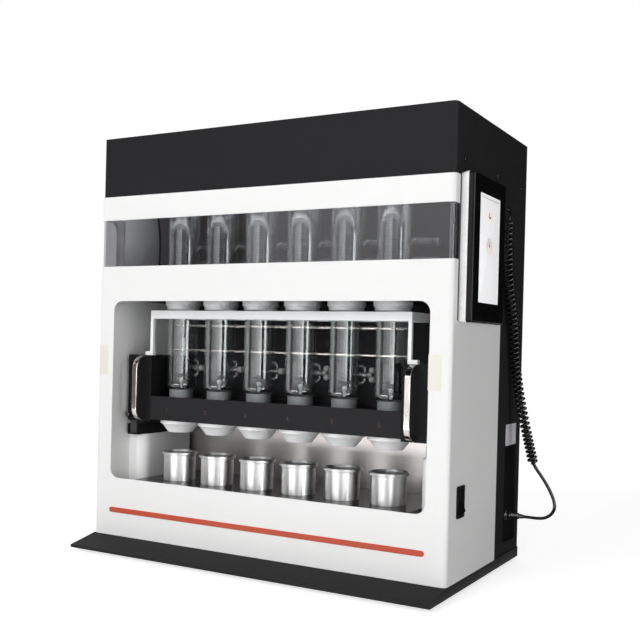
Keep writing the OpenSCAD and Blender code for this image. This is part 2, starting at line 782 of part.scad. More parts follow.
frame_half = tray_half + 11;
frame_front = station_y - tube_od / 2 - 5;
frame_back = station_y + tube_od / 2 + 7;
frame_wall = 3.5;
frame_skin = 3;
rear_leg_x = tray_half - 21;
rod_z = [cheek_top + 11, cheek_top + 58];
module glass_frame() at_origin() color(white_paint) {
    difference() {
        block([-frame_half, frame_front, frame_top - frame_h], [frame_half, frame_back, frame_top]);
        block([frame_wall - frame_half, frame_front + frame_wall, frame_top - frame_h - cut],
              [frame_half - frame_wall, frame_back - frame_wall, frame_top - frame_skin]);
        at_stations() translate([0, 0, frame_top - frame_skin - cut])
            cylinder(d = tube_od + 2 * slip, h = frame_skin + 2 * cut);
    }
    both_sides() {
        block([frame_half - frame_leg, frame_front, cheek_top],
              [frame_half, frame_front + frame_leg, frame_top - frame_h]);
        block([frame_half - frame_leg, frame_front, cheek_top],
              [frame_half + 11, frame_front + frame_leg + 4, cheek_top + 7]);
        block([rear_leg_x - frame_leg / 2, frame_back - frame_leg, deck_z],
              [rear_leg_x + frame_leg / 2, frame_back, frame_top - frame_h]);
        block([rear_leg_x - frame_leg / 2, frame_back - frame_leg, frame_top - frame_h - cut],
              [rear_leg_x + frame_leg / 2, frame_back, frame_top - frame_skin]);
    }
    for (z = rod_z) translate([0, frame_back - frame_leg / 2, z])
        bar_x(rod_d, frame_wall - frame_half, rear_leg_x);
}

hub_d = neck_od + 9;
module cup_seals() at_origin() color("#F1F1EE") at_stations() translate([0, 0, seal_z]) rotate_extrude()
    polygon([[18, 0], [seal_tip_d / 2 - 1.5, 0], [seal_tip_d / 2, 1.5],
             [seal_od / 2 - 3, seal_cone_h], [seal_od / 2 - 1, seal_cone_h], [seal_od / 2, seal_cone_h + 1],
             [seal_od / 2, seal_cone_h + seal_flange], [hub_d / 2, seal_cone_h + seal_flange],
             [hub_d / 2, deck_z - rack_sheet - seal_z], [neck_od / 2 + slip, deck_z - rack_sheet - seal_z],
             [neck_od / 2 + slip, seal_cone_h + seal_flange + 4], [18, seal_cone_h + seal_flange + 4]]);

// Outline of a tube from its neck to its rim, drawn in by the glass
function tube_side(off) = let (low = neck_od / 2 - off, r = tube_od / 2 - off)
    concat([[low, bar_z + 4], [low, shoulder_z]],
           [for (a = [15 : 15 : 90]) [low + (r - low) * sin(a), tube_z - shoulder_h * cos(a)]],
           [[r, tube_top]]);

arm_z = tube_z + 30;
arm_tip = tube_od / 2 + 15;
bypass_rise = 14;
// One extraction tube with its side arm, fused as one glass piece
module glass_tube() {
    outer = tube_side(0);
    inner = tube_side(glass_wall);
    rotate_extrude() polygon(concat(outer, [for (k = [len(inner) - 1 : -1 : 0]) inner[k]]));
    translate([0, 0, arm_z]) bar_x(arm_d + 2, tube_od / 2 - glass_wall, arm_tip);
    translate([arm_tip - arm_d, 0, arm_z - bypass_rise]) cylinder(d = arm_d, h = 2 * bypass_rise);
    for (z = [arm_z - bypass_rise, arm_z + bypass_rise]) translate([0, 0, z]) {
        bar_x(arm_d, tube_od / 2 - glass_wall, arm_tip - arm_d);
        translate([arm_tip - arm_d, 0, 0]) sphere(d = arm_d);
    }
}

module extraction_tube(i) at_origin() color(glass_colour)
    translate([station_x(i), station_y, 0]) glass_tube();

holder_floor = tube_z + 1;
holder_wall = 1.5;
drain_len = 32;
arch_r = 4;
arch_at = tube_od / 2 - glass_wall - arm_d / 2 - 2.4;
arch_z = tube_top - 16;
// Inner cups that hold the thimbles, each with its floor ring, drain and vapour arch
module thimble_holders() at_origin() color(glass_colour) at_stations() {
    rotate_extrude() {
        translate([arm_d / 2 - 1.2, holder_floor])
            square([tube_od / 2 - glass_wall - slip - arm_d / 2 + 1.2, 2]);
        translate([holder_od / 2 - holder_wall, holder_floor]) square([holder_wall, holder_h]);
        translate([holder_od / 2 - holder_wall / 2, holder_floor + holder_h]) circle(1.6);
        translate([arm_d / 2 - 1.2, holder_floor - drain_len]) square([1.8, drain_len + 1]);
    }
    rotate([0, 0, 225]) translate([arch_at, 0, 0]) {
        translate([0, 0, holder_floor + 1]) cylinder(d = arm_d, h = arch_z - holder_floor - 1);
        translate([0, arch_r, arch_z]) rotate([90, 0, -90]) rotate_extrude(angle = 180)
            translate([arch_r, 0]) circle(d = arm_d);
        translate([0, 2 * arch_r, arch_z - 12]) cylinder(d = arm_d, h = 12);
    }
}

cap_len = 12;
cap_w = 11;
cap_rise = 26;
module side_arm_caps() at_origin() color("#DADBD8") at_stations() translate([0, 0, arm_z])
    along_x(arm_tip, arm_tip + cap_len) rounded(cap_w, cap_rise, 4);

// Rear and inside

box_wall = 2;
box_x = [-310, -110];
box_y = [bay_depth + 30, body_depth - 22];
box_h = 110;
module power_control_box() at_origin() color("#A9ABAC") difference() {
    block([box_x[0], box_y[0], base_t], [box_x[1], box_y[1], base_t + box_h]);
    block([box_x[0] + box_wall, box_y[0] + box_wall, base_t - cut],
          [box_x[1] - box_wall, box_y[1] - box_wall, base_t + box_h - box_wall]);
    // vents
    for (k = [0 : 5]) block([box_x[0] + 20 + k * 30, box_y[0] - cut, base_t + 30],
                            [box_x[0] + 30 + k * 30, box_y[0] + box_wall + cut, base_t + 80]);
}

fan_y = body_depth - rear_t - fan_t;
fan_shaft = 6;
spider_t = 4;
module fan_frame() at_origin() color("#1C1C1E") translate([fan_x, fan_y, fan_z]) difference() {
    along_y(0, fan_t) rounded(fan_w, fan_w, 6);
    bar_y(fan_bore, spider_t, fan_t + cut);
    // four openings that leave the hub and its spider
    along_y(-cut, spider_t + cut) difference() {
        circle(d = fan_bore - 4);
        circle(d = 40);
        for (a = [45, 135]) rotate(a) square([fan_bore, 8], center = true);
    }
    bar_y(fan_shaft + 2 * running, -cut, spider_t + cut);
}

module fan_rotor() at_origin() color("#2A2A2C") translate([fan_x, fan_y, fan_z]) {
    bar_y(fan_shaft, 0, 8);
    bar_y(44, 6, fan_t - 2);
    intersection() {
        for (k = [0 : 6]) rotate([0, k * 360 / 7, 0]) translate([20, 14.5, 0]) rotate([38, 0, 0])
            block([0, -1, -12], [40, 1, 12]);
        bar_y(fan_bore - 6, 6, fan_t - 2);
    }
}

module mains_inlet() at_origin() color("#1A1A1A") translate([inlet_x, 0, inlet_z]) {
    difference() {
        union() {
            along_y(body_depth, body_depth + inlet_flange) rounded(inlet_w + 16, inlet_h + 6, 5);
            along_y(body_depth - 26, body_depth) rounded(inlet_w - 1, inlet_h - 1, 4);
        }
        along_y(body_depth - 16, body_depth + inlet_flange + cut) rounded(25, 17, 3);
    }
    for (p = [[-7, -2], [0, 3], [7, -2]])
        block([p[0] - 1, body_depth - 17, p[1] - 2], [p[0] + 1, body_depth - 6, p[1] + 2]);
}

frame_lip = 2;
switch_bore = switch_h - 10;
pivot_d = 4;
pivot_x = cab_half - 4;
module switch_frame() at_origin() color("#151515") difference() {
    union() {
        along_x(cab_half, cab_half + frame_lip) translate([switch_y, switch_z])
            rounded(switch_w, switch_h, 2.5);
        along_x(cab_half - 18, cab_half) translate([switch_y, switch_z])
            square([switch_w - 5, switch_h - 5], center = true);
    }
    along_x(cab_half - 15, cab_half + frame_lip + cut) translate([switch_y, switch_z])
        square([switch_w - 10, switch_bore], center = true);
    translate([pivot_x, 0, switch_z])
        bar_y(pivot_d, switch_y - switch_w / 2 + 3, switch_y + switch_w / 2 - 3);
}

// Rocker, resting with its upper half pressed in
rocker_half = switch_bore / 2 - 1;
module power_rocker() at_origin() color("#0E0E0F") translate([pivot_x, switch_y, switch_z]) {
    rotate([0, -rocker_tilt, 0]) along_y(5.5 - switch_w / 2, switch_w / 2 - 5.5)
        polygon([[-6, -6], [2, -rocker_half + 1.5], [7, -rocker_half + 1.5], [5.5, 0],
                 [7, rocker_half - 1.5], [2, rocker_half - 1.5], [-6, 6]]);
    bar_y(pivot_d - 2 * running, 3.3 - switch_w / 2, switch_w / 2 - 3.3);
}

// Controller and its cord

module controller_dock() at_origin() color("#3C3C3E")
    along_x(pad_x, pad_x + dock_t) translate([pad_mid_y, pad_mid_z]) rounded(dock_w, dock_h, 8);

// One slice of the controller's outline
module pad_slice(x, t, inset, r) along_x(x, x + t) translate([pad_mid_y, pad_mid_z])
    rounded(pad_w - 2 * inset, pad_h - 2 * inset, r, $fn = 32);

module controller_back() at_origin() color(white_paint) difference() {
    hull() {
        pad_slice(pad_x, 0.5, 2.5, 3);
        pad_slice(pad_x + pad_back_t - 2, 2, 0, 4.5);
    }
    along_x(pad_x - cut, pad_x + dock_t + dock_gap) translate([pad_mid_y, pad_mid_z])
        rounded(dock_w + 2 * dock_gap, dock_h + 2 * dock_gap, 8);
}

screen_t = 1;
module controller_bezel() at_origin() color("#141416") difference() {
    hull() {
        pad_slice(pad_x + pad_back_t, pad_bezel_t - 4, 0.6, 4.5);
        pad_slice(pad_face - 1, 1, 4, 3);
    }
    along_x(pad_face - screen_t, pad_face + cut) translate([pad_mid_y - 2, screen_mid_z])
        square([screen_w, screen_h], center = true);
}

module controller_screen() at_origin() color("#E9EBEC")
    along_x(pad_face - screen_t, pad_face - 0.2) translate([pad_mid_y - 2, screen_mid_z])
        square([screen_w - 0.2, screen_h - 0.2], center = true);

module controller_gland() at_origin() color("#121212") translate([gland_x, pad_y + pad_w, gland_z])
    rotate([-90, 0, 0]) cylinder(d1 = 9, d2 = cord_d + 2, h = gland_len);

module jack_socket() at_origin() color(chrome_colour) translate([0, jack_y, jack_z]) {
    bar_x(18, cover_half - recess_depth, cover_half - recess_depth + socket_len);
    bar_x(9.6, cover_half - cover_wall - recess_depth - 6, cover_half - recess_depth);
}

plug_x = cover_half - recess_depth + socket_len;
module cord_plug() at_origin() color("#9FA0A0") translate([0, jack_y, jack_z]) {
    bar_x(13, plug_x, plug_x + 6);
    bar_x(11.5, plug_x + 6, plug_x + 20);
    translate([plug_x + 20, 0, 0]) rotate([0, 90, 0])
        cylinder(d1 = 9, d2 = cord_d + 1.2, h = plug_len - 20);
}

// Point on a smooth curve through a list of points
function on_route(p, u) = let (n = len(p), i = min(floor(u), n - 2), t = u - i,
                               a = p[max(i - 1, 0)], b = p[i], c = p[i + 1], d = p[min(i + 2, n - 1)])
    0.5 * (2 * b + (c - a) * t + (2 * a - 5 * b + 4 * c - d) * t * t + (3 * b - 3 * c + d - a) * t * t * t);

curl_r = (curl_od - cord_d) / 2;
route_end = len(cord_route) - 1;
curl_steps = curls * rings_per_curl;
cord_u = concat([for (u = [0 : 0.5 : curl_from - 0.5]) u],
                [for (k = [0 : curl_steps]) curl_from + (curl_to - curl_from) * k / curl_steps],
                [for (u = [curl_to + 0.5 : 0.5 : route_end]) u]);
function curl_share(u) = (u - curl_from) / (curl_to - curl_from);
function cord_along(u) =
    unit(on_route(cord_route, min(u + 0.02, route_end)) - on_route(cord_route, max(u - 0.02, 0)));
// Direction from the hanging axis to the cord, turning once in each curl
function cord_out(u) = let (share = min(max(curl_share(u), 0), 1), t = cord_along(u),
                            side = unit([1 - share, share, 0]),
                            n = unit(side - (side * t) * t), b = cross(t, n), a = 360 * curls * share)
    cos(a) * n + sin(a) * b;
function cord_curl(u) = let (share = curl_share(u))
    share <= 0 || share >= 1 ? 0 : curl_r * ramp(min(share, 1 - share) * curls);
cord_path = [for (u = cord_u) on_route(cord_route, u) + cord_curl(u) * cord_out(u)];
cord_normals = [for (u = cord_u) cord_out(u)];
module coiled_cord() at_origin() color("#0D0D0E") swept_tube(cord_path, cord_normals, cord_d, cord_sides);

echo(cord_own_gap = own_gap(cord_path, cord_d, rings_per_curl), cord_gap_limit = 0.4,  // coiled_cord
         cord_length = len(cord_path) > 1
             ? [for (k = [1 : len(cord_path) - 1]) norm(cord_path[k] - cord_path[k - 1])]
                 * [for (k = [1 : len(cord_path) - 1]) 1] : 0);
echo(coil_own_gap = own_gap(coil_path, coil_tube_d, rings_per_curl), coil_gap_limit = 0.4);  // condenser_coils

base_plate();
rubber_feet();
front_shell();
top_cover();
rear_panel();
condenser_window();
accent_strip();
bay_sides();
splash_panel();
bay_back();
bay_ceiling();
rail_pedestals();
guide_rails();
condenser_collars();
condenser_jackets();
condenser_coils();
water_manifolds();
water_hoses();
water_ports();
lift_motor();
guide_rods();
power_control_box();
fan_frame();
mains_inlet();
switch_frame();
controller_dock();
jack_socket();
coiled_cord();
cord_plug();
rack_tray();
rack_cheeks();
grab_handles();
glass_frame();
cup_seals();
rack_runners();
side_arm_caps();
for (i = [0 : stations - 1]) {
    extraction_tube(i);
    cup(i);
}
thimble_holders();
lock_knob();
heating_plate();
lift_bracket();
lift_nut();
lead_screw();
fan_rotor();
power_rocker();
controller_back();
controller_bezel();
controller_screen();
controller_gland();
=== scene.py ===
"""Dresses a six-place bench extractor: finishes for its solids, and the finer pieces that its look needs."""

from __future__ import annotations

import logging
import math
from collections.abc import Iterable, Sequence
from dataclasses import dataclass, field
from enum import Enum

import bmesh
import bpy
from mathutils import Euler, Matrix, Vector


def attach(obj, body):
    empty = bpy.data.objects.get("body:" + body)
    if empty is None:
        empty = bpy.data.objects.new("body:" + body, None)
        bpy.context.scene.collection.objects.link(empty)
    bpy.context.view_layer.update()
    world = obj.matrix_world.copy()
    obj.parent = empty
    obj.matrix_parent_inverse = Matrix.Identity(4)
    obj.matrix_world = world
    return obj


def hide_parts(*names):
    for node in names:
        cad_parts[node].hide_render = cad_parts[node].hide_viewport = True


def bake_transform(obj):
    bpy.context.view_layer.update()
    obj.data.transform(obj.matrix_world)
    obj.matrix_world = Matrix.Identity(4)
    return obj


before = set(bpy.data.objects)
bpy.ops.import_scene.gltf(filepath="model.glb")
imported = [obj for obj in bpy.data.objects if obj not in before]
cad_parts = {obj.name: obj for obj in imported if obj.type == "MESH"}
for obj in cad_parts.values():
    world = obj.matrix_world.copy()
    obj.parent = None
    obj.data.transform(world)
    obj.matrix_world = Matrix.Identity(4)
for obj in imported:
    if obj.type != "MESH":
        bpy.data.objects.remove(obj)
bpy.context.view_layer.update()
LOG = logging.getLogger("extractor")

MM = 0.001
SHIFT = Vector((-11.5, -162.0, 6.0))
STATIONS = tuple((i - 2.5) * 87.0 for i in range(6))
STATION_Y = 80.0
Colour = tuple[float, float, float]
Point = tuple[float, float, float]
Pair = tuple[float, float]


def at(x: float, y: float, z: float) -> Vector:
    """Moves a point of the cabinet's drawing frame to the part's frame.

    Args:
        x: Millimetres to the right of the cabinet's middle.
        y: Millimetres behind the front face.
        z: Millimetres above the base plate's underside.

    Returns:
        The point in metres.
    """
    return (Vector((x, y, z)) + SHIFT) * MM


class Body(str, Enum):
    """The bodies that made pieces ride on, apart from the six cups."""

    CABINET = "cabinet"
    RACK = "glass_rack"
    LOCK = "rack_lock"
    CONTROLLER = "controller"


class Axis(Enum):
    """The direction that a turned piece's axis or a plate's face takes."""

    X = 0
    Y = 1
    Z = 2


class Sock:
    """A node's output that can stand in sums."""

    def __init__(self, recipe: Recipe, socket: bpy.types.NodeSocket) -> None:
        """Keeps the socket and the recipe that it belongs to."""
        self.recipe = recipe
        self.socket = socket

    def _sum(self, operation: str, first: Sock | float, second: Sock | float) -> Sock:
        """Adds one Math node.

        Args:
            operation: The node's operation.
            first: Its first value.
            second: Its second value.

        Returns:
            The node's result.
        """
        return self.recipe.node("ShaderNodeMath", {"operation": operation}, {0: first, 1: second})

    def __add__(self, other: Sock | float) -> Sock:
        """Returns the sum."""
        return self._sum("ADD", self, other)

    __radd__ = __add__

    def __sub__(self, other: Sock | float) -> Sock:
        """Returns the difference."""
        return self._sum("SUBTRACT", self, other)

    def __rsub__(self, other: Sock | float) -> Sock:
        """Returns the difference the other way round."""
        return self._sum("SUBTRACT", other, self)

    def __mul__(self, other: Sock | float) -> Sock:
        """Returns the product."""
        return self._sum("MULTIPLY", self, other)

    __rmul__ = __mul__

    def __pow__(self, other: Sock | float) -> Sock:
        """Returns the power."""
        return self._sum("POWER", self, other)

    def larger(self, other: Sock | float) -> Sock:
        """Returns the larger of two values."""
        return self._sum("MAXIMUM", self, other)

    def step(self, low: float, high: float) -> Sock:
        """Rises smoothly from 0 at one value to 1 at another.

        Args:
            low: The value where it is 0.
            high: The value where it is 1.

        Returns:
            The eased share.
        """
        return self.recipe.node(
            "ShaderNodeMapRange",
            {"interpolation_type": "SMOOTHSTEP"},
            {"Value": self, "From Min": low, "From Max": high, "To Min": 0.0, "To Max": 1.0},
        )


class Recipe:
    """A material's node tree while it is put together."""

    def __init__(self, name: str) -> None:
        """Makes an empty material.

        Args:
            name: The material's name.
        """
        self.material = bpy.data.materials.new(name)
        self.material.use_nodes = True
        self.tree = self.material.node_tree
        self.tree.nodes.clear()
        self.output = self.tree.nodes.new("ShaderNodeOutputMaterial")

    def node(
        self,
        kind: str,
        settings: dict[str, object] | None = None,
        values: dict[str | int, object] | None = None,
        out: str | int = 0,
    ) -> Sock:
        """Adds a node.

        Args:
            kind: The node's type.
            settings: Its properties, which are set first.
            values: Numbers, colours or links for its sockets.
            out: The output that is handed on.

        Returns:
            That output.
        """
        made = self.tree.nodes.new(kind)
        for key, value in (settings or {}).items():
            setattr(made, key, value)
        for key, value in (values or {}).items():
            if isinstance(value, Sock):
                self.tree.links.new(value.socket, made.inputs[key])
            elif isinstance(value, tuple) and made.inputs[key].type == "RGBA" and len(value) == 3:
                made.inputs[key].default_value = (*value, 1.0)
            else:
                made.inputs[key].default_value = value
        return Sock(self, made.outputs[out])

    def place(self) -> Sock:
        """Returns the place on the piece, in metres."""
        return self.node("ShaderNodeTexCoord", out="Object")

    def along(self, axis: str) -> Sock:
        """Returns the place along one axis of the part, in metres."""
        return self.node("ShaderNodeSeparateXYZ", None, {0: self.place()}, out=axis)

    def stretched(self, scale: Point) -> Sock:
        """Returns the place, scaled along each axis."""
        return self.node("ShaderNodeMapping", None, {"Vector": self.place(), "Scale": scale})

    def noise(self, scale: float, detail: float = 2.0, where: Sock | None = None) -> Sock:
        """Adds a noise.

        Args:
            scale: Waves to the metre.
            detail: Octaves.
            where: Coordinates, the place on the piece if left out.

        Returns:
            The noise's value, about 0.5.
        """
        return self.node(
            "ShaderNodeTexNoise", None, {"Vector": where or self.place(), "Scale": scale, "Detail": detail}
        )

    def mix(self, first: Colour | Sock, second: Colour | Sock, share: Sock | float) -> Sock:
        """Mixes two colours.

        Args:
            first: Colour at share 0.
            second: Colour at share 1.
            share: How far to go.

        Returns:
            The mixed colour.
        """
        return self.node("ShaderNodeMix", {"data_type": "RGBA"}, {0: share, 6: first, 7: second}, out=2)

    def bump(self, height: Sock, depth: float) -> Sock:
        """Turns a height into a normal.

        Args:
            height: The height, from 0 to 1.
            depth: What 1 means, in metres.

        Returns:
            The normal.
        """
        return self.node("ShaderNodeBump", None, {"Strength": 1.0, "Distance": depth, "Height": height})

    def principled(self, **values: object) -> Sock:
        """Adds a Principled surface. Sockets are named with underscores for spaces."""
        named = {key.replace("_", " "): value for key, value in values.items()}
        return self.node("ShaderNodeBsdfPrincipled", None, named)

    def blend(self, first: Sock, second: Sock, share: Sock | float) -> Sock:
        """Mixes two surfaces."""
        return self.node("ShaderNodeMixShader", None, {0: share, 1: first, 2: second})

    def wear(self, surface: Sock) -> None:
        """Sends a surface to the material's output."""
        self.tree.links.new(surface.socket, self.output.inputs["Surface"])


MADE: dict[str, bpy.types.Material] = {}


@dataclass(frozen=True)
class Finish:
    """A surface that pieces are given."""

    name: str

    def material(self) -> bpy.types.Material:
        """Makes the finish's material the first time that it is asked for.

        Returns:
            The material.
        """
        if self.name not in MADE:
            recipe = Recipe(self.name)
            self.dress(recipe)
            MADE[self.name] = recipe.material
        return MADE[self.name]

    def dress(self, r: Recipe) -> None:
        """Fills the recipe."""
        raise NotImplementedError


@dataclass(frozen=True)
class PowderCoat(Finish):
    """Baked powder paint with a fine orange-peel grain.

    Attributes:
        colour: Its colour.
        shade: What the colour drifts to in places.
        roughness: Its mean roughness.
        grain: Grains to the metre.
        depth: Their depth in metres.
        shine: The share of light that its face mirrors.
    """

    colour: Colour
    shade: Colour
    roughness: float
    grain: float = 900.0
    depth: float = 0.00004
    shine: float = 0.5

    def dress(self, r: Recipe) -> None:
        """Fills the recipe with clouded colour, uneven gloss and grain.

        Args:
            r: The recipe to fill.
        """
        cloud = r.noise(6.0, 4.0)
        grain = r.noise(self.grain, 2.0)
        scuff = r.noise(70.0, 5.0, r.stretched((1.0, 1.0, 0.25)))
        rough = self.roughness + (cloud - 0.5) * 0.10 + (scuff - 0.5) * 0.08
        r.wear(
            r.principled(
                Base_Color=r.mix(self.colour, self.shade, cloud),
                Roughness=rough,
                Specular_IOR_Level=self.shine,
                Normal=r.bump(grain, self.depth),
            )
        )


@dataclass(frozen=True)
class Moulding(Finish):
    """Moulded plastic or rubber with a fine eroded texture.

    Attributes:
        colour: Its colour.
        shade: What the colour drifts to in places.
        roughness: Its mean roughness.
        grain: Grains to the metre.
        depth: Their depth in metres.
        shine: The share of light that its face mirrors.
    """

    colour: Colour
    shade: Colour
    roughness: float
    grain: float = 1600.0
    depth: float = 0.00002
    shine: float = 0.5

    def dress(self, r: Recipe) -> None:
        """Fills the recipe with a little colour drift, handling marks and texture.

        Args:
            r: The recipe to fill.
        """
        drift = r.noise(14.0, 3.0)
        marks = r.noise(120.0, 4.0)
        r.wear(
            r.principled(
                Base_Color=r.mix(self.colour, self.shade, drift),
                Roughness=self.roughness + (marks - 0.5) * 0.16,
                Specular_IOR_Level=self.shine,
                Normal=r.bump(r.noise(self.grain, 1.0), self.depth),
            )
        )


@dataclass(frozen=True)
class BrushedMetal(Finish):
    """Metal with fine lines along one direction.

    Attributes:
        colour: Its colour.
        shade: The colour in the lines.
        lines: Lines to the metre along each axis.
        roughness: Its mean roughness.
        depth: The lines' depth in metres.
        pull: How far the lines draw reflections out.
        uneven: How much the lines change the roughness.
    """

    colour: Colour
    shade: Colour
    lines: Point
    roughness: float
    depth: float = 0.00001
    pull: float = 0.0
    uneven: float = 0.22

    def dress(self, r: Recipe) -> None:
        """Fills the recipe with brushing lines in colour, gloss and height.

        Args:
            r: The recipe to fill.
        """
        lines = r.noise(1.0, 3.0, r.stretched(self.lines))
        cloud = r.noise(9.0, 3.0)
        r.wear(
            r.principled(
                Base_Color=r.mix(self.shade, self.colour, lines),
                Metallic=1.0,
                Roughness=self.roughness + (lines - 0.5) * self.uneven + (cloud - 0.5) * 0.06,
                Anisotropic=self.pull,
                Anisotropic_Rotation=0.25,
                Normal=r.bump(lines, self.depth),
            )
        )


@dataclass(frozen=True)
class PlatedMetal(Finish):
    """Bright plated or ground metal.

    Attributes:
        colour: Its colour.
        shade: The colour under smears.
        roughness: The roughness of its clean face.
    """

    colour: Colour
    shade: Colour
    roughness: float

    def dress(self, r: Recipe) -> None:
        """Fills the recipe with a bright face and faint smears.

        Args:
            r: The recipe to fill.
        """
        smear = r.noise(38.0, 4.0)
        r.wear(
            r.principled(
                Base_Color=r.mix(self.shade, self.colour, smear),
                Metallic=1.0,
                Roughness=self.roughness + (smear - 0.4).larger(0.0) * 0.2,
            )
        )


@dataclass(frozen=True)
class ThinGlass(Finish):
    """Clear laboratory glass: see-through face on, bright along its outlines.

    Attributes:
        tint: What is left of light that passes through.
        face: How much it mirrors face on.
        edge: How much more it mirrors along its outlines.
        power: How narrow the bright outlines are.
        frost_below: Height in metres under which it is ground, 0 for none.
        haze: How much of a film it has.
        swell: Depth of the drawn glass's ripples in metres.
        rear: Place along y behind which it mirrors less, so that the front wall reads.
        rear_fade: Half the width of that change in metres.
        rear_loss: The share that is lost behind it.
    """

    tint: Colour
    face: float
    edge: float
    power: float
    frost_below: float = 0.0
    haze: float = 0.0
    swell: float = 0.0002
    rear: float = (STATION_Y + SHIFT.y) * MM
    rear_fade: float = 0.006
    rear_loss: float = 0.75

    def dress(self, r: Recipe) -> None:
        """Fills the recipe with reflection over a clear sheet, and a ground band where asked.

        Args:
            r: The recipe to fill.
        """
        facing = r.node("ShaderNodeLayerWeight", None, {"Blend": 0.5}, out="Facing")
        clear = r.node("ShaderNodeBsdfTransparent", None, {0: self.tint})
        ripple = r.bump(r.noise(60.0, 2.0), self.swell)
        gloss = r.principled(
            Base_Color=(0.9, 0.92, 0.92),
            Metallic=1.0,
            Roughness=0.03 + r.noise(25.0, 2.0) * 0.03,
            Normal=ripple,
        )
        behind = r.along("Y").step(self.rear - self.rear_fade, self.rear + self.rear_fade)
        front = 1.0 - behind * self.rear_loss
        glass = r.blend(clear, gloss, (facing**self.power * self.edge + self.face) * front)
        if self.haze:
            film = r.principled(Base_Color=(0.8, 0.82, 0.83), Roughness=0.6)
            glass = r.blend(glass, film, r.noise(110.0, 4.0).step(0.35, 0.75) * self.haze)
        if self.frost_below:
            ground = r.principled(
                Base_Color=r.mix((0.15, 0.16, 0.165), (0.23, 0.242, 0.248), r.noise(160.0, 3.0)),
                Roughness=0.55,
                Normal=r.bump(r.noise(2400.0, 2.0), 0.00004),
            )
            band = 1.0 - r.along("Z").step(self.frost_below - 0.0012, self.frost_below + 0.0004)
            glass = r.blend(glass, ground, band * 0.93)
        r.wear(glass)


@dataclass(frozen=True)
class SmokedSheet(Finish):
    """Grey see-through sheet with a polished face.

    Attributes:
        tint: What is left of light that passes through.
        face: How much it mirrors face on.
        edge: How much more it mirrors at a slant.
        power: How steep the slant has to be.
    """

    tint: Colour
    face: float
    edge: float
    power: float

    def dress(self, r: Recipe) -> None:
        """Fills the recipe with a grey filter under a clear reflection.

        Args:
            r: The recipe to fill.
        """
        facing = r.node("ShaderNodeLayerWeight", None, {"Blend": 0.5}, out="Facing")
        clear = r.node("ShaderNodeBsdfTransparent", None, {0: self.tint})
        gloss = r.principled(
            Base_Color=(0.8, 0.8, 0.81), Metallic=1.0, Roughness=0.04 + r.noise(12.0, 3.0) * 0.04
        )
        r.wear(r.blend(clear, gloss, facing**self.power * self.edge + self.face))


@dataclass(frozen=True)
class LitPanel(Finish):
    """A display's lit area, with fine uneven cells.

    Attributes:
        colour: Its colour.
        strength: How brightly it is lit.
    """

    colour: Colour
    strength: float

    def dress(self, r: Recipe) -> None:
        """Fills the recipe with light behind a smooth glass.

        Args:
            r: The recipe to fill.
        """
        cells = r.noise(1400.0, 0.0)
        glow = r.mix(tuple(0.94 * c for c in self.colour), self.colour, cells)
        r.wear(
            r.principled(
                Base_Color=r.mix(self.colour, tuple(0.9 * c for c in self.colour), r.noise(9.0)),
                Roughness=0.18 + cells * 0.04,
                Emission_Color=glow,
                Emission_Strength=self.strength,
            )
        )


# The finishes of the extractor's own pieces.
WHITE = PowderCoat("white_coat", (0.86, 0.86, 0.853), (0.835, 0.837, 0.833), roughness=0.38, shine=0.25)
BLACK = PowderCoat(
    "black_coat",
    (0.017, 0.0164, 0.018),
    (0.021, 0.0203, 0.022),
    roughness=0.5,
    grain=700.0,
    depth=0.00006,
    shine=0.045,
)
CHARCOAL = PowderCoat(
    "charcoal_coat", (0.018, 0.0174, 0.019), (0.022, 0.0213, 0.023), roughness=0.5, grain=700.0, shine=0.06
)
# A darker copy of the black coat: painted shade on the rack's cheeks and on the guide rails.
PAINTED_SHADE_BLACK = PowderCoat(
    "shade_coat", (0.006, 0.006, 0.0065), (0.009, 0.009, 0.0095), roughness=0.5, grain=700.0, shine=0.08
)
BAY_BLACK = PowderCoat(
    "bay_coat", (0.036, 0.034, 0.036), (0.044, 0.0415, 0.044), roughness=0.6, grain=700.0, shine=0.05
)
GREY = PowderCoat("grey_coat", (0.34, 0.35, 0.36), (0.29, 0.3, 0.31), roughness=0.45)
FRAME = PowderCoat("frame_coat", (0.93, 0.94, 0.945), (0.91, 0.92, 0.925), roughness=0.34)
DIM = PowderCoat(
    "dim_coat", (0.15, 0.146, 0.158), (0.12, 0.117, 0.127), roughness=0.6, grain=700.0, shine=0.1
)
ACCENT = PowderCoat(
    "accent_coat",
    (0.56, 0.078, 0.031),
    (0.485, 0.065, 0.026),
    roughness=0.42,
    grain=1200.0,
    depth=0.00002,
    shine=0.25,
)
STEEL = BrushedMetal(
    "brushed_stainless",
    (0.44, 0.419, 0.412),
    (0.335, 0.318, 0.312),
    lines=(3.0, 300.0, 900.0),
    roughness=0.34,
    depth=0.000004,
)
TURNED = BrushedMetal(
    "turned_steel", (0.6, 0.6, 0.6), (0.36, 0.36, 0.36), lines=(300.0, 300.0, 20.0), roughness=0.28
)
SPUN = BrushedMetal(
    "spun_aluminium",
    (0.95, 0.95, 0.95),
    (0.89, 0.89, 0.89),
    lines=(9.0, 9.0, 900.0),
    roughness=0.48,
    depth=0.0000003,
    pull=0.94,
    uneven=0.03,
)
# A darker copy of the spun metal for the cups' insides: painted shade in their hollows.
CUP_INSIDE_SHADE = BrushedMetal(
    "cup_inside",
    (0.36, 0.36, 0.36),
    (0.27, 0.27, 0.27),
    lines=(9.0, 9.0, 900.0),
    roughness=0.42,
    depth=0.000003,
)
CHROME = PlatedMetal("bright_chrome", (0.66, 0.64, 0.61), (0.54, 0.52, 0.495), roughness=0.1)
DARK_METAL = PlatedMetal("dark_metal", (0.12, 0.117, 0.113), (0.08, 0.078, 0.075), roughness=0.25)
FASTENER = PlatedMetal("black_fastener", (0.03, 0.03, 0.031), (0.02, 0.02, 0.021), roughness=0.34)
BRASS = PlatedMetal("turned_brass", (0.72, 0.52, 0.2), (0.55, 0.38, 0.13), roughness=0.2)
ROD = PlatedMetal("rod_sleeve", (0.97, 0.87, 0.83), (0.92, 0.8, 0.75), roughness=0.24)
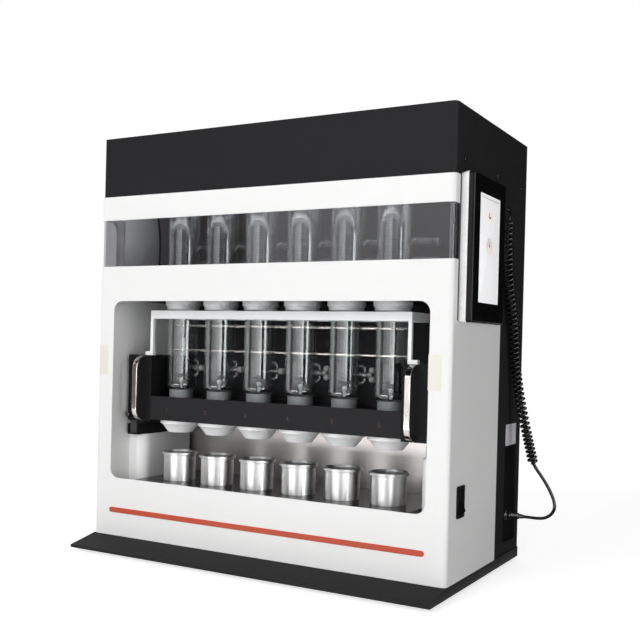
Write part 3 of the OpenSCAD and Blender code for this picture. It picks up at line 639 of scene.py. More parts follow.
TUBE_GLASS = ThinGlass(
    "tube_glass", (0.95, 0.965, 0.965), face=0.05, edge=0.85, power=2.4, frost_below=0.2985
)
INNER_GLASS = ThinGlass("inner_glass", (0.93, 0.945, 0.945), face=0.014, edge=0.75, power=2.6)
COIL_GLASS = ThinGlass("condenser_glass", (0.93, 0.94, 0.945), face=0.06, edge=0.9, power=2.4, haze=0.26)
JACKET_GLASS = ThinGlass(
    "jacket_glass", (0.93, 0.94, 0.945), face=0.23, edge=0.8, power=2.4, haze=0.06, swell=0.00004
)
HOSE_GLASS = ThinGlass("clear_hose", (0.9, 0.91, 0.91), face=0.02, edge=0.4, power=2.4, haze=0.08)
SMOKED = SmokedSheet("smoked_sheet", (0.74, 0.74, 0.755), face=0.045, edge=0.5, power=5.0)
# Pale grey strips: painted highlights on the window's cut edge and its bent corner.
PANE_EDGE_HIGHLIGHT = Moulding("pane_edge", (0.36, 0.36, 0.365), (0.3, 0.3, 0.305), roughness=0.4)
PTFE = Moulding("white_ptfe", (0.965, 0.97, 0.975), (0.93, 0.935, 0.94), roughness=0.4, grain=900.0)
STOPPER = Moulding("stopper_grey", (0.2, 0.205, 0.205), (0.12, 0.124, 0.124), roughness=0.42, grain=900.0)
COLLAR = Moulding("collar_grey", (0.85, 0.865, 0.875), (0.79, 0.805, 0.815), roughness=0.34, grain=900.0)
RUBBER = Moulding(
    "black_rubber",
    (0.011, 0.011, 0.0115),
    (0.016, 0.016, 0.0165),
    roughness=0.65,
    grain=1100.0,
    depth=0.00005,
    shine=0.05,
)
PLASTIC = Moulding(
    "black_moulding", (0.007, 0.007, 0.0075), (0.011, 0.011, 0.0115), roughness=0.45, shine=0.1
)
GLOSS = Moulding(
    "gloss_black", (0.004, 0.004, 0.0045), (0.006, 0.006, 0.0065), roughness=0.22, depth=0.000008, shine=0.12
)
CORD = Moulding(
    "cord_jacket",
    (0.0035, 0.0035, 0.004),
    (0.005, 0.005, 0.0055),
    roughness=0.24,
    grain=900.0,
    depth=0.00001,
    shine=0.36,
)
DEEP = Moulding(
    "deep_black",
    (0.0045, 0.0045, 0.005),
    (0.006, 0.006, 0.0065),
    roughness=0.7,
    grain=900.0,
    depth=0.00003,
    shine=0.05,
)
IVORY = Moulding("white_moulding", (0.86, 0.86, 0.855), (0.82, 0.82, 0.815), roughness=0.28)
BARE_PLATE = Moulding("bare_plate", (0.8, 0.775, 0.7), (0.76, 0.735, 0.66), roughness=0.34)
GREY_PLATE = Moulding("grey_plate", (0.74, 0.715, 0.765), (0.69, 0.665, 0.715), roughness=0.42)
CERAMIC = Moulding(
    "dark_ceramic",
    (0.012, 0.0115, 0.013),
    (0.018, 0.017, 0.019),
    roughness=0.2,
    grain=500.0,
    depth=0.00001,
    shine=0.4,
)
RUNNER = Moulding("grey_runner", (0.05, 0.05, 0.053), (0.04, 0.04, 0.043), roughness=0.5, shine=0.2)
MARK = Moulding("station_mark", (0.062, 0.016, 0.0145), (0.046, 0.0135, 0.0125), roughness=0.5)
NICK = Moulding("rod_nick", (0.05, 0.04, 0.04), (0.03, 0.025, 0.025), roughness=0.5)
PAGE = LitPanel("display_page", (0.88, 0.88, 0.89), strength=0.56)
HEADER = LitPanel("display_header", (0.78, 0.77, 0.755), strength=0.25)
FAINT = LitPanel("display_faint", (0.74, 0.73, 0.715), strength=0.4)
BLUSH = LitPanel("display_blush", (0.95, 0.8, 0.73), strength=0.5)
INK = LitPanel("display_ink", (0.24, 0.19, 0.17), strength=0.1)


@dataclass
class Shape:
    """Points and faces of a piece that is being made."""

    points: list[Vector] = field(default_factory=list)
    faces: list[tuple[int, ...]] = field(default_factory=list)

    def join(self, *others: Shape) -> Shape:
        """Takes in other shapes.

        Args:
            others: The shapes to add.

        Returns:
            This shape.
        """
        for other in others:
            base = len(self.points)
            self.points += other.points
            self.faces += [tuple(i + base for i in face) for face in other.faces]
        return self

    def mesh(self, name: str, angle: float = 38.0) -> bpy.types.Mesh:
        """Makes a clean mesh with soft shading.

        Args:
            name: The mesh's name.
            angle: Edges sharper than this, in degrees, stay sharp.

        Returns:
            The mesh.
        """
        mesh = bpy.data.meshes.new(name)
        mesh.from_pydata([tuple(p) for p in self.points], [], self.faces)
        work = bmesh.new()
        work.from_mesh(mesh)
        bmesh.ops.remove_doubles(work, verts=work.verts, dist=1e-6)
        bmesh.ops.recalc_face_normals(work, faces=work.faces)
        work.to_mesh(mesh)
        work.free()
        mesh.shade_smooth()
        mesh.set_sharp_from_angle(angle=math.radians(angle))
        return mesh

    def piece(
        self,
        name: str,
        finish: Finish,
        body: Body | str,
        replaces: Iterable[str] = (),
        slot: str = "",
        angle: float = 38.0,
    ) -> bpy.types.Object:
        """Makes the piece and sets it on its body.

        Args:
            name: The piece's name.
            finish: What it is made of.
            body: The body that it rides on.
            replaces: Solids that it stands for.
            slot: The record's material slot. Not used.
            angle: Edges sharper than this, in degrees, stay sharp.

        Returns:
            The piece.
        """
        return settle(self.mesh(name, angle), name, finish, body, replaces)


def settle(
    mesh: bpy.types.Mesh,
    name: str,
    finish: Finish,
    body: Body | str | None,
    replaces: Iterable[str] = (),
) -> bpy.types.Object:
    """Puts a mesh in the scene as a piece.

    Args:
        mesh: Its mesh, in the part's frame.
        name: Its name.
        finish: What it is made of.
        body: The body that it rides on, or None to leave it on no body.
        replaces: Solids that it stands for.

    Returns:
        The piece.
    """
    made = bpy.data.objects.new(name, mesh)
    bpy.context.scene.collection.objects.link(made)
    mesh.materials.clear()
    mesh.materials.append(finish.material())
    if body is not None:
        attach(made, body.value if isinstance(body, Body) else body)
    if replaces:
        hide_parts(*replaces)
    LOG.info("%s: %d faces", name, len(mesh.polygons))
    return made


def grid(rings: Sequence[Sequence[Vector]], along: bool = False, caps: bool = False) -> Shape:
    """Joins closed rings of points with faces.

    Args:
        rings: Rings with the same number of points.
        along: Whether the last ring meets the first.
        caps: Whether the first and last rings are filled.

    Returns:
        The shape.
    """
    count, size = len(rings), len(rings[0])
    faces: list[tuple[int, ...]] = []
    for k in range(count if along else count - 1):
        for s in range(size):
            a, b = k * size + s, k * size + (s + 1) % size
            c, d = (k + 1) % count * size + (s + 1) % size, (k + 1) % count * size + s
            faces.append((a, b, c, d))
    if caps:
        faces.append(tuple(range(size - 1, -1, -1)))
        faces.append(tuple(range((count - 1) * size, count * size)))
    return Shape([Vector(p) for ring in rings for p in ring], faces)


def lathe(
    profile: Sequence[Pair],
    centre: Point,
    axis: Axis,
    sides: int,
    hollow: bool = False,
) -> Shape:
    """Turns a profile about an axis.

    Args:
        profile: Radius and place along the axis of each point, in millimetres.
        centre: Where the axis starts, in the drawing frame.
        axis: Its direction.
        sides: Sides of the round.
        hollow: Whether the profile closes on itself, as a tube's wall does.

    Returns:
        The shape.
    """
    rings = []
    for radius, place in profile:
        ring = []
        for s in range(sides):
            turn = 2 * math.pi * s / sides
            u, v = radius * math.cos(turn), radius * math.sin(turn)
            local = {Axis.X: (place, u, v), Axis.Y: (v, place, u), Axis.Z: (u, v, place)}[axis]
            ring.append(at(*(c + d for c, d in zip(centre, local))))
        rings.append(ring)
    return grid(rings, along=hollow, caps=not hollow)


def arc(centre: Pair, radius: float, start: float, end: float, count: int) -> list[Pair]:
    """Points of an arc.

    Args:
        centre: Its centre.
        radius: Its radius.
        start: First angle in degrees.
        end: Last angle in degrees.
        count: Steps.

    Returns:
        The points, both ends included.
    """
    turns = [math.radians(start + (end - start) * k / count) for k in range(count + 1)]
    return [(centre[0] + radius * math.cos(t), centre[1] + radius * math.sin(t)) for t in turns]


def smooth_path(points: Sequence[Point], steps: int) -> list[Vector]:
    """Runs a smooth curve through points.

    Args:
        points: The points, in the drawing frame.
        steps: Steps between neighbours.

    Returns:
        Points of the curve, in the drawing frame.
    """
    given = [Vector(p) for p in points]
    return [curve_at(given, k / steps) for k in range((len(given) - 1) * steps + 1)]


def curve_at(points: Sequence[Vector], u: float) -> Vector:
    """Finds a point of the smooth curve through points.

    Args:
        points: The points that it goes through.
        u: How far along, counted in points.

    Returns:
        The point.
    """
    i = min(int(u), len(points) - 2)
    t = u - i
    a, b, c = points[max(i - 1, 0)], points[i], points[i + 1]
    d = points[min(i + 2, len(points) - 1)]
    return 0.5 * (2 * b + (c - a) * t + (2 * a - 5 * b + 4 * c - d) * t**2 + (3 * b - 3 * c + d - a) * t**3)


def eased_radius(radius: float, share: float) -> float:
    """Returns the radius of a winding that opens smoothly as the share goes from 0 to 1."""
    return radius * share * share * (3 - 2 * share)


def tube(path: Sequence[Vector], radius: float, sides: int, bore: float = 0.0) -> Shape:
    """Sweeps a round tube along a path.

    Args:
        path: Points of the drawing frame, in millimetres.
        radius: Outer radius in millimetres.
        sides: Sides of the round.
        bore: Inner radius, 0 for a solid rod.

    Returns:
        The shape.
    """
    count = len(path)
    normal = Vector((0.0, 0.0, 1.0))
    outer, inner = [], []
    for k, point in enumerate(path):
        tangent = (path[min(k + 1, count - 1)] - path[max(k - 1, 0)]).normalized()
        normal = normal - tangent * normal.dot(tangent)
        if normal.length < 1e-3:
            normal = tangent.orthogonal()
        normal.normalize()
        side = tangent.cross(normal)
        turns = [2 * math.pi * s / sides for s in range(sides)]
        outer.append([at(*(point + radius * (math.cos(t) * normal + math.sin(t) * side))) for t in turns])
        inner.append([at(*(point + bore * (math.cos(t) * normal + math.sin(t) * side))) for t in turns])
    if bore:
        return grid(outer + inner[::-1], along=True)
    return grid(outer, caps=True)


def outline(width: float, height: float, radius: float, steps: int) -> list[Pair]:
    """Points of a rounded rectangle about its middle.

    Args:
        width: Its width.
        height: Its height.
        radius: Its corners' radius.
        steps: Steps in a corner.

    Returns:
        The points, anticlockwise.
    """
    x, y = width / 2 - radius, height / 2 - radius
    corners = [((x, -y), -90), ((x, y), 0), ((-x, y), 90), ((-x, -y), 180)]
    return [p for centre, turn in corners for p in arc(centre, radius, turn, turn + 90, steps)]


def side_loft(layers: Sequence[Pair], size: Point, middle: Vector) -> Shape:
    """Stacks rounded rectangles along x.

    Args:
        layers: Place along x and inset of each layer.
        size: Width along y, height along z, and corner radius with no inset.
        middle: Middle of the rectangles, of which y and z are used.

    Returns:
        The shape, filled at both ends.
    """
    rings = []
    for x, inset in layers:
        points = outline(size[0] - 2 * inset, size[1] - 2 * inset, max(size[2] - inset * 0.8, 0.5), 10)
        rings.append([at(x, middle.y + u, middle.z + v) for u, v in points])
    return grid(rings, caps=True)


def slab(normal: Axis, middle: Point, size: Pair, thick: float, radius: float) -> Shape:
    """Makes a flat plate with round corners and a soft front edge.

    Args:
        normal: The axis that it faces along, X or Y.
        middle: Middle of its back.
        size: Width and height.
        thick: Thickness, negative towards the axis's negative end.
        radius: Corner radius.

    Returns:
        The shape.
    """
    soft = min(abs(thick) * 0.5, radius * 0.5, 0.6)
    front = math.copysign(soft, thick)
    rings = []
    layers = ((0.0, 0.0), (thick - front, 0.0), (thick - front * 0.3, soft * 0.3), (thick, soft))
    for depth, inset in layers:
        ring = []
        for u, v in outline(size[0] - 2 * inset, size[1] - 2 * inset, max(radius - inset, 0.05), 6):
            local = {Axis.X: (depth, u, v), Axis.Y: (u, depth, v)}[normal]
            ring.append(at(*(c + d for c, d in zip(middle, local))))
        rings.append(ring)
    return grid(rings, caps=True)


class Repeater:
    """A Geometry Nodes tree that sets one shape on each point of a mesh."""

    def __init__(self, name: str, finish: Finish) -> None:
        """Builds the tree.

        Args:
            name: The tree's name.
            finish: The finish of what it sets out.
        """
        self.name = name
        self.finish = finish
        self.tree = bpy.data.node_groups.new(name, "GeometryNodeTree")
        face = self.tree.interface
        sockets = [
            ("Points", "INPUT", "NodeSocketGeometry"),
            ("Shape", "INPUT", "NodeSocketObject"),
            ("Turn", "INPUT", "NodeSocketRotation"),
            ("Size", "INPUT", "NodeSocketFloat"),
            ("Result", "OUTPUT", "NodeSocketGeometry"),
        ]
        self.keys = {n: face.new_socket(n, in_out=d, socket_type=t).identifier for n, d, t in sockets}
        kinds = {
            "start": "NodeGroupInput",
            "source": "GeometryNodeObjectInfo",
            "spread": "GeometryNodeInstanceOnPoints",
            "real": "GeometryNodeRealizeInstances",
            "paint": "GeometryNodeSetMaterial",
            "end": "NodeGroupOutput",
        }
        made = {key: self.tree.nodes.new(kind) for key, kind in kinds.items()}
        made["paint"].inputs["Material"].default_value = finish.material()
        links = [
            ("start", "Points", "spread", "Points"),
            ("start", "Shape", "source", "Object"),
            ("source", "Geometry", "spread", "Instance"),
            ("start", "Turn", "spread", "Rotation"),
            ("start", "Size", "spread", "Scale"),
            ("spread", "Instances", "real", "Geometry"),
            ("real", "Geometry", "paint", "Geometry"),
            ("paint", "Geometry", "end", "Result"),
        ]
        for source, leaves, target, enters in links:
            self.tree.links.new(made[source].outputs[leaves], made[target].inputs[enters])

    def spread(
        self,
        name: str,
        shape: Shape,
        spots: Sequence[Vector],
        turn: Euler,
        body: Body,
    ) -> bpy.types.Object:
        """Sets the shape on each spot and makes one piece of it.

        Args:
            name: The piece's name.
            shape: The shape about its own origin, in metres.
            spots: Places in the part's frame.
            turn: How each copy is turned.
            body: The body that the piece rides on.

        Returns:
            The piece.
        """
        scene = bpy.context.scene
        source = bpy.data.objects.new(name + "_source", shape.mesh(name + "_source"))
        cloud = bpy.data.meshes.new(name + "_spots")
        cloud.from_pydata([tuple(p) for p in spots], [], [])
        holder = bpy.data.objects.new(name + "_holder", cloud)
        for helper in (source, holder):
            scene.collection.objects.link(helper)
        modifier = holder.modifiers.new(self.name, "NODES")
        modifier.node_group = self.tree
        modifier[self.keys["Shape"]] = source
        modifier[self.keys["Turn"]] = tuple(turn)
        modifier[self.keys["Size"]] = 1.0
        graph = bpy.context.evaluated_depsgraph_get()
        mesh = bpy.data.meshes.new_from_object(holder.evaluated_get(graph))
        holder.modifiers.remove(modifier)
        for helper in (source, holder):
            bpy.data.objects.remove(helper)
        mesh.name = name
        return settle(mesh, name, self.finish, body)


@dataclass
class Studio:
    """Camera, floor, lamps, surroundings and the cards that bright surfaces show."""

    eye: Point = (861.368, -1311.796, 382.467)
    right: Point = (0.87107476, 0.49049789, 0.02530972)
    down: Point = (0.02513358, 0.00694782, -0.99965996)
    focal_px: float = 921.973
    rise_px: float = 30.0
    picture_px: float = 640.0
    sensor: float = 36.0
    slide: float = 0.002
    floor_half: float = 9.0
    floor_glow: float = 2.4
    ambient: float = 0.28
    tubes: Pair = (-0.02, -0.08)

    def camera(self) -> None:
        """Sets the camera where the photograph was taken from."""
        data = bpy.data.cameras.new("photo_camera")
        data.sensor_width = self.sensor
        data.lens = self.focal_px / self.picture_px * self.sensor
        data.shift_x = self.slide
        data.shift_y = self.rise_px / self.picture_px
        data.clip_start, data.clip_end = 0.05, 60.0
        camera = bpy.data.objects.new("photo_camera", data)
        bpy.context.scene.collection.objects.link(camera)
        across, up = Vector(self.right).normalized(), -Vector(self.down).normalized()
        back = across.cross(up)
        turn = Matrix((across, up, back)).transposed()
        camera.matrix_world = Matrix.Translation(at(*self.eye)) @ turn.to_4x4()
        bpy.context.scene.camera = camera

    def lamp(
        self, name: str, place: Point, aim: Point, size: Pair, watts: float, mirrored: bool = True
    ) -> None:
        """Hangs one soft box.

        Args:
            name: Its name.
            place: Where it hangs, in metres.
            aim: What it points at.
            size: Width and height.
            watts: Its power.
            mirrored: Whether metal and glass show it.
        """
        data = bpy.data.lights.new(name, "AREA")
        data.shape = "RECTANGLE"
        data.size, data.size_y = size
        data.energy = watts
        lamp = bpy.data.objects.new(name, data)
        bpy.context.scene.collection.objects.link(lamp)
        lamp.location = place
        lamp.rotation_euler = (Vector(aim) - Vector(place)).to_track_quat("-Z", "Y").to_euler()
        lamp.visible_camera = False
        lamp.visible_glossy = mirrored

    def lights(self) -> None:
        """Hangs the lamps."""
        middle = (0.0, 0.0, 0.38)
        self.lamp("key", (-1.5, -3.0, 2.4), middle, (1.8, 1.6), 43.0, mirrored=False)
        self.lamp("front", (0.25, -3.2, 1.15), middle, (1.5, 2.0), 42.0, mirrored=False)
        self.lamp("right_strip", (2.85, -0.7, 0.8), middle, (0.26, 1.8), 11.0, mirrored=False)
        self.lamp("right_fill", (2.6, 0.2, 1.6), middle, (1.2, 1.6), 1.0)
        self.lamp("rear_fill", (-0.6, 3.0, 1.8), middle, (2.0, 1.4), 18.0)
        window, coils = tuple(at(0, 34, 645)), tuple(at(0, 110, 520))
        self.lamp("chamber", window, coils, (0.6, 0.04), 1.7, mirrored=False)

    def surroundings(self) -> None:
        """Fills the surroundings: white to the eye and to bright surfaces, dim as a light."""
        world = bpy.data.worlds.new("surroundings")
        bpy.context.scene.world = world
        world.use_nodes = True
        nodes, links = world.node_tree.nodes, world.node_tree.links
        nodes.clear()
        path = nodes.new("ShaderNodeLightPath")
        seen = path.outputs["Is Camera Ray"]
        for other in ("Is Glossy Ray", "Is Transmission Ray"):
            larger = nodes.new("ShaderNodeMath")
            larger.operation = "MAXIMUM"
            links.new(seen, larger.inputs[0])
            links.new(path.outputs[other], larger.inputs[1])
            seen = larger.outputs[0]
        ambient = nodes.new("ShaderNodeBackground")
        ambient.inputs["Strength"].default_value = self.ambient
        shown = nodes.new("ShaderNodeBackground")
        shown.inputs["Color"].default_value = (1.0, 1.0, 1.0, 1.0)
        mixed = nodes.new("ShaderNodeMixShader")
        links.new(seen, mixed.inputs[0])
        links.new(ambient.outputs[0], mixed.inputs[1])
        links.new(shown.outputs[0], mixed.inputs[2])
        output = nodes.new("ShaderNodeOutputWorld")
        links.new(mixed.outputs[0], output.inputs["Surface"])

    def floor(self) -> None:
        """Lays a pale floor that keeps the part's shadow."""
        mesh = bpy.data.meshes.new("floor")
        half = self.floor_half
        corners = [(-half, -half, 0), (half, -half, 0), (half, half, 0), (-half, half, 0)]
        mesh.from_pydata(corners, [], [(0, 1, 2, 3)])
        floor = bpy.data.objects.new("floor", mesh)
        bpy.context.scene.collection.objects.link(floor)
        recipe = Recipe("pale_floor")
        paper = recipe.principled(
            Base_Color=recipe.mix((0.9, 0.9, 0.9), (0.88, 0.88, 0.88), recipe.noise(3.0)), Roughness=0.75
        )
        seen = recipe.node("ShaderNodeLightPath", out="Is Camera Ray")
        for kind in ("Is Glossy Ray", "Is Transmission Ray"):
            seen = seen.larger(recipe.node("ShaderNodeLightPath", out=kind))
        bright = (1.0, 1.0, 1.0)
        glow = recipe.node("ShaderNodeEmission", None, {"Color": bright, "Strength": self.floor_glow})
        white = recipe.node("ShaderNodeEmission", None, {"Color": bright, "Strength": 1.0})
        far = recipe.node("ShaderNodeVectorMath", {"operation": "LENGTH"}, {0: recipe.place()}, out="Value")
        near = recipe.blend(paper, glow, seen * 0.3)
        recipe.wear(recipe.blend(near, white, seen * far.step(1.0, 2.0)))
        mesh.materials.append(recipe.material)

    def card(self, name: str, corners: Sequence[Point], glow: Colour) -> None:
        """Sets up a card that only bright surfaces show, as a studio's flags and reflectors.

        Args:
            name: Its name.
            corners: Its corners in order.
            glow: The light that it gives back.
        """
        mesh = bpy.data.meshes.new(name)
        mesh.from_pydata(list(corners), [], [tuple(range(len(corners)))])
        card = bpy.data.objects.new(name, mesh)
        bpy.context.scene.collection.objects.link(card)
        recipe = Recipe(name)
        recipe.wear(recipe.node("ShaderNodeEmission", None, {"Color": glow, "Strength": 1.0}))
        mesh.materials.append(recipe.material)
        for kind in ("camera", "diffuse", "transmission", "shadow"):
            setattr(card, f"visible_{kind}", False)

    @staticmethod
    def upright(foot: Pair, end: Pair, low: float, high: float) -> list[Point]:
        """Gives the corners of a standing card.

        Args:
            foot: One end of its lower edge.
            end: The other end.
            low: Height of its lower edge.
            high: Height of its upper edge.

        Returns:
            Its four corners.
        """
        return [(*foot, low), (*end, low), (*end, high), (*foot, high)]

    def cards(self) -> None:
        """Sets the dark flags and the bright reflectors round the part."""
        dark, warm = (0.006, 0.006, 0.006), (0.2, 0.185, 0.165)
        self.card("flag_front", self.round_card(2.1, 45.0, 63.0, 0.15, 1.05), dark)
        self.card("flag_camera", self.round_card(3.0, 10.0, 40.0, 0.66, 2.6), (0.25, 0.25, 0.25))
        self.card("flag_low", self.round_card(1.05, 11.0, 39.0, 0.0, 0.12), (0.3, 0.3, 0.3))
        self.card("flag_right", self.upright((-0.1, 2.2), (2.3, 0.7), -0.1, 2.4), dark)
        ground = [(0.358, -0.3, 0.002), (1.5, -0.3, 0.002), (1.5, 1.4, 0.002), (0.358, 1.4, 0.002)]
        self.card("flag_floor", ground, dark)
        ceiling = [(-2.4, -2.9, 1.95), (2.4, -2.9, 1.95), (2.4, 1.2, 2.6), (-2.4, 1.2, 2.6)]
        self.card("flag_top", ceiling, dark)
        self.card("flag_left", self.upright((-1.93, -1.37), (-1.25, -1.96), -0.2, 1.6), warm)
        for name, far, first, last, low, high, glow in (
            ("box_left", 3.0, -36.0, -10.0, 0.1, 1.4, 1.5),
            ("box_middle", 3.0, -10.0, 12.0, 0.1, 1.4, 2.3),
            ("box_near", 3.0, 12.0, 32.0, 0.1, 0.65, 3.6),
            ("box_camera", 3.0, 32.0, 44.0, 0.1, 0.65, 6.0),
            ("box_right", 3.0, 63.0, 93.0, 0.1, 1.4, 7.0),
            ("low_left", 1.05, -34.0, 11.0, 0.0, 0.12, 9.0),
            ("low_right", 1.05, 39.0, 94.0, 0.0, 0.12, 8.0),
            ("high_left", 3.0, -34.0, 10.0, 1.4, 2.8, 4.0),
            ("high_right", 3.0, 40.0, 100.0, 1.4, 2.8, 4.0),
        ):
            self.card(name, self.round_card(far, first, last, low, high), (glow, glow, glow))

    def round_card(self, far: float, first: float, last: float, low: float, high: float) -> list[Point]:
        """Gives the corners of a standing card at a distance from the tubes.

        Args:
            far: Its distance in metres.
            first: The bearing of one end in degrees, nought in front and rising to the right.
            last: The bearing of the other end.
            low: Height of its lower edge.
            high: Height of its upper edge.

        Returns:
            The corners in order.
        """
        x, y = self.tubes
        turns = [math.radians(a) for a in (first, last)]
        foot, end = ((x + far * math.sin(t), y - far * math.cos(t)) for t in turns)
        return self.upright(foot, end, low, high)

    def build(self) -> None:
        """Makes the camera, the floor, the lamps, the surroundings and the cards."""
        self.camera()
        self.floor()
        self.lights()
        self.surroundings()
        self.cards()
        view = bpy.context.scene.view_settings
        view.view_transform = "Standard"


@dataclass
class CoiledCord:
    """The controller's cord, from its gland to the plug."""

    side_x: float = 353.5
    diameter: float = 5.6
    curl_radius: float = 6.45
    curls: int = 52
    curl_from: int = 3
    curl_to: int = 16
    per_curl: int = 18
    per_step: int = 8
    near: float = 0.02
    sides: int = 12
    route: tuple[Point, ...] = (
        (16, 190.5, 620), (16, 198, 620), (15.5, 213, 618), (12, 225, 606), (10.5, 226, 572),
        (10.5, 230, 538), (10.5, 236, 504), (10.5, 248, 471), (10.5, 263, 439), (10.5, 274, 405),
        (10.5, 282, 371), (11.5, 290, 338), (16, 293, 304), (23, 293, 270), (31, 293, 236),
        (38, 293, 208), (46, 293, 180), (60, 293, 160), (69, 293, 147), (78, 293, 131),
        (83, 293, 118), (84, 293, 106), (78, 293, 95), (67, 293, 88), (54, 293, 86),
        (42, 293, 86), (30, 293, 86),
    )

    def centreline(self) -> list[Vector]:
        """Winds the cord's line round its hanging axis.

        Returns:
            Points in the drawing frame.
        """
        points = [Vector((x + self.side_x, y, z)) for x, y, z in self.route]
        last = len(points) - 1
        steps, reach = self.curls * self.per_curl, self.curl_to - self.curl_from
        places = [k / self.per_step for k in range(self.curl_from * self.per_step)]
        places += [self.curl_from + reach * k / steps for k in range(steps + 1)]
        rest = (last - self.curl_to) * self.per_step
        places += [self.curl_to + k / self.per_step for k in range(1, rest + 1)]
        line = []
        for u in places:
            share = min(max((u - self.curl_from) / reach, 0.0), 1.0)
            ahead = curve_at(points, min(u + self.near, last))
            behind = curve_at(points, max(u - self.near, 0))
            along = (ahead - behind).normalized()
            side = Vector((1 - share, share, 0)).normalized()
            out = (side - along * side.dot(along)).normalized()
            turn = 2 * math.pi * self.curls * share
            ease = min(max(min(share, 1 - share) * self.curls, 0.0), 1.0)
            radius = eased_radius(self.curl_radius, ease)
            curl = math.cos(turn) * out + math.sin(turn) * along.cross(out)
            line.append(curve_at(points, u) + radius * curl)
        return line

    def build(self) -> None:
        """Makes the cord, its plug, its jack and its gland."""
        line = self.centreline()
        jacket = tube(line, self.diameter / 2, self.sides).mesh("coiled_cord_jacket", 60.0)
        cord = settle(jacket, "coiled_cord_jacket", CORD, None, ["coiled_cord"])
        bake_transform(cord)
        grip = []
        for k in range(5):
            grip += [(5.75, 8 + 2.2 * k), (5.35, 8.4 + 2.2 * k), (5.35, 9.4 + 2.2 * k)]
        plug = lathe(
            [(0, 0), (6.2, 0), (6.5, 0.4), (6.5, 5.4), (6.2, 6), (5.75, 6.2), (5.75, 7), *grip]
            + [(5.75, 19.4), (5.3, 20), (4.5, 20.2), (4.3, 23), (3.6, 27), (3.1, 29), (0, 29)],
            (354.5, 293.0, 86.0),
            Axis.X,
            40,
        ).piece("plug_shell", DARK_METAL, Body.CABINET, ["cord_plug"], "plug_metal")
        lathe(
            [(0, -8), (4.8, -8), (4.8, 0), (9, 0), (9, 2.6), (8.4, 3.4), (7.6, 3.6), (7.2, 5), (0, 5)],
            (349.5, 293.0, 86.0),
            Axis.X,
            40,
        ).piece("jack_ring", DARK_METAL, Body.CABINET, ["jack_socket"], "chrome_metal")
        ribs = [p for k in range(5) for p in ((4.4 - 0.2 * k, 2 + 3 * k), (3.9 - 0.2 * k, 3 + 3 * k))]
        lathe(
            [(0, -0.6), (4.5, -0.6), (4.5, 1.0), *ribs, (3.4, 17.4), (3.3, 19), (0, 19)],
            (369.5, 171.0, 620.0),
            Axis.Y,
            32,
        ).piece("cord_gland", RUBBER, Body.CONTROLLER, ["controller_gland"], "rubber_black")


def dress_nodes(finish: Finish, *nodes: str) -> None:
    """Gives CAD solids a finish.

    Args:
        finish: The finish.
        nodes: The solids' names.
    """
    for name in nodes:
        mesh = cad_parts[name].data
        mesh.materials.clear()
        mesh.materials.append(finish.material())


def screw_head(radius: float, height: float, socket: float) -> Shape:
    """Makes a button-head screw about its own origin, facing up.

    Args:
        radius: Radius of the head, in millimetres.
        height: Its height.
        socket: Radius across the socket's corners.

    Returns:
        The shape, in metres.
    """
    profile = [(radius, 0), (radius, height * 0.25), (radius * 0.9, height * 0.65), (radius * 0.68, height)]
    sides, sixth = 24, math.pi / 3
    turns = [2 * math.pi * s / sides for s in range(sides)]
    rings = [[Vector((r * math.cos(t), r * math.sin(t), z)) * MM for t in turns] for r, z in profile]
    flats = [socket * math.cos(math.pi / 6) / math.cos(t % sixth - math.pi / 6) for t in turns]
    for z in (height, height * 0.35):
        rings.append([Vector((f * math.cos(t), f * math.sin(t), z)) * MM for f, t in zip(flats, turns)])
    return grid(rings, caps=True)


@dataclass
class Cabinet:
    """Base, shell, hood, rear panel and what is fixed to them."""

    half: float = 353.5
    depth: float = 360.0
    hood_half: float = 352.0
    hood_screw_z: float = 674.0
    hood_screws_y: Point = (40.0, 195.0, 330.0)
    rear_screws_x: Point = (-335.0, 0.0, 335.0)
    rear_screws_z: tuple[float, ...] = (40.0, 220.0, 480.0, 735.0)

    def plates(self) -> None:
        """Sets the bare plates, the dock's painted shadow gap and the painted shade in the connector recess.
        """
        for name, x in (("left", -338.0), ("right", 327.0)):
            slab(Axis.Y, (x, 0.0, 343.5), (22.0, 56.0), -0.35, 1.6).piece(
                f"bare_plate_{name}", BARE_PLATE, Body.CABINET
            )
        for name, finish, middle, size, thick, radius in (
            ("bare_plate_side", GREY_PLATE, (self.hood_half, 305.5, 229.0), (58.0, 38.0), 0.4, 1.5),
            # A thin dark strip standing proud round the controller's back: a painted shadow gap between the
            # dock and the cabinet.
            ("dock_gasket", RUNNER, (self.half, 93.25, 536.5), (149.5, 226.0), 0.5, 3.0),
            # A near-black sheet over the back of the connector recess: painted shade in the recess.
            ("recess_liner", DEEP, (self.hood_half - 2.5, 307.0, 125.0), (65.6, 173.6), 0.3, 1.0),
        ):
            slab(Axis.X, middle, size, thick, radius).piece(name, finish, Body.CABINET)

    def screws(self) -> None:
        """Spreads the hood's and the rear panel's screws."""
        setter = Repeater("screw_setter", FASTENER)
        head = screw_head(4.2, 2.2, 2.0)
        for name, side, turn in (("right", 1, math.pi / 2), ("left", -1, -math.pi / 2)):
            spots = [at(side * self.hood_half, y, self.hood_screw_z) for y in self.hood_screws_y]
            setter.spread(f"hood_screws_{name}", head, spots, Euler((0.0, turn, 0.0)), Body.CABINET)
        spots = [at(x, self.depth, z) for x in self.rear_screws_x for z in self.rear_screws_z]
        setter.spread("rear_screws", head, spots, Euler((-math.pi / 2, 0.0, 0.0)), Body.CABINET)

    def build(self) -> None:
        """Dresses the solids and adds the small parts."""
        dress_nodes(WHITE, "front_shell", "bay_sides", "rail_pedestals")
        dress_nodes(BLACK, "top_cover", "rear_panel")
        dress_nodes(BAY_BLACK, "bay_back", "bay_ceiling")
        dress_nodes(PAINTED_SHADE_BLACK, "guide_rails")
        dress_nodes(CHARCOAL, "base_plate")
        dress_nodes(ACCENT, "accent_strip")
        dress_nodes(STEEL, "splash_panel")
        dress_nodes(RUBBER, "rubber_feet")
        dress_nodes(PLASTIC, "fan_frame", "fan_rotor", "mains_inlet", "switch_frame", "controller_dock")
        dress_nodes(GLOSS, "power_rocker")
        dress_nodes(GREY, "power_control_box")
        self.plates()
        self.screws()


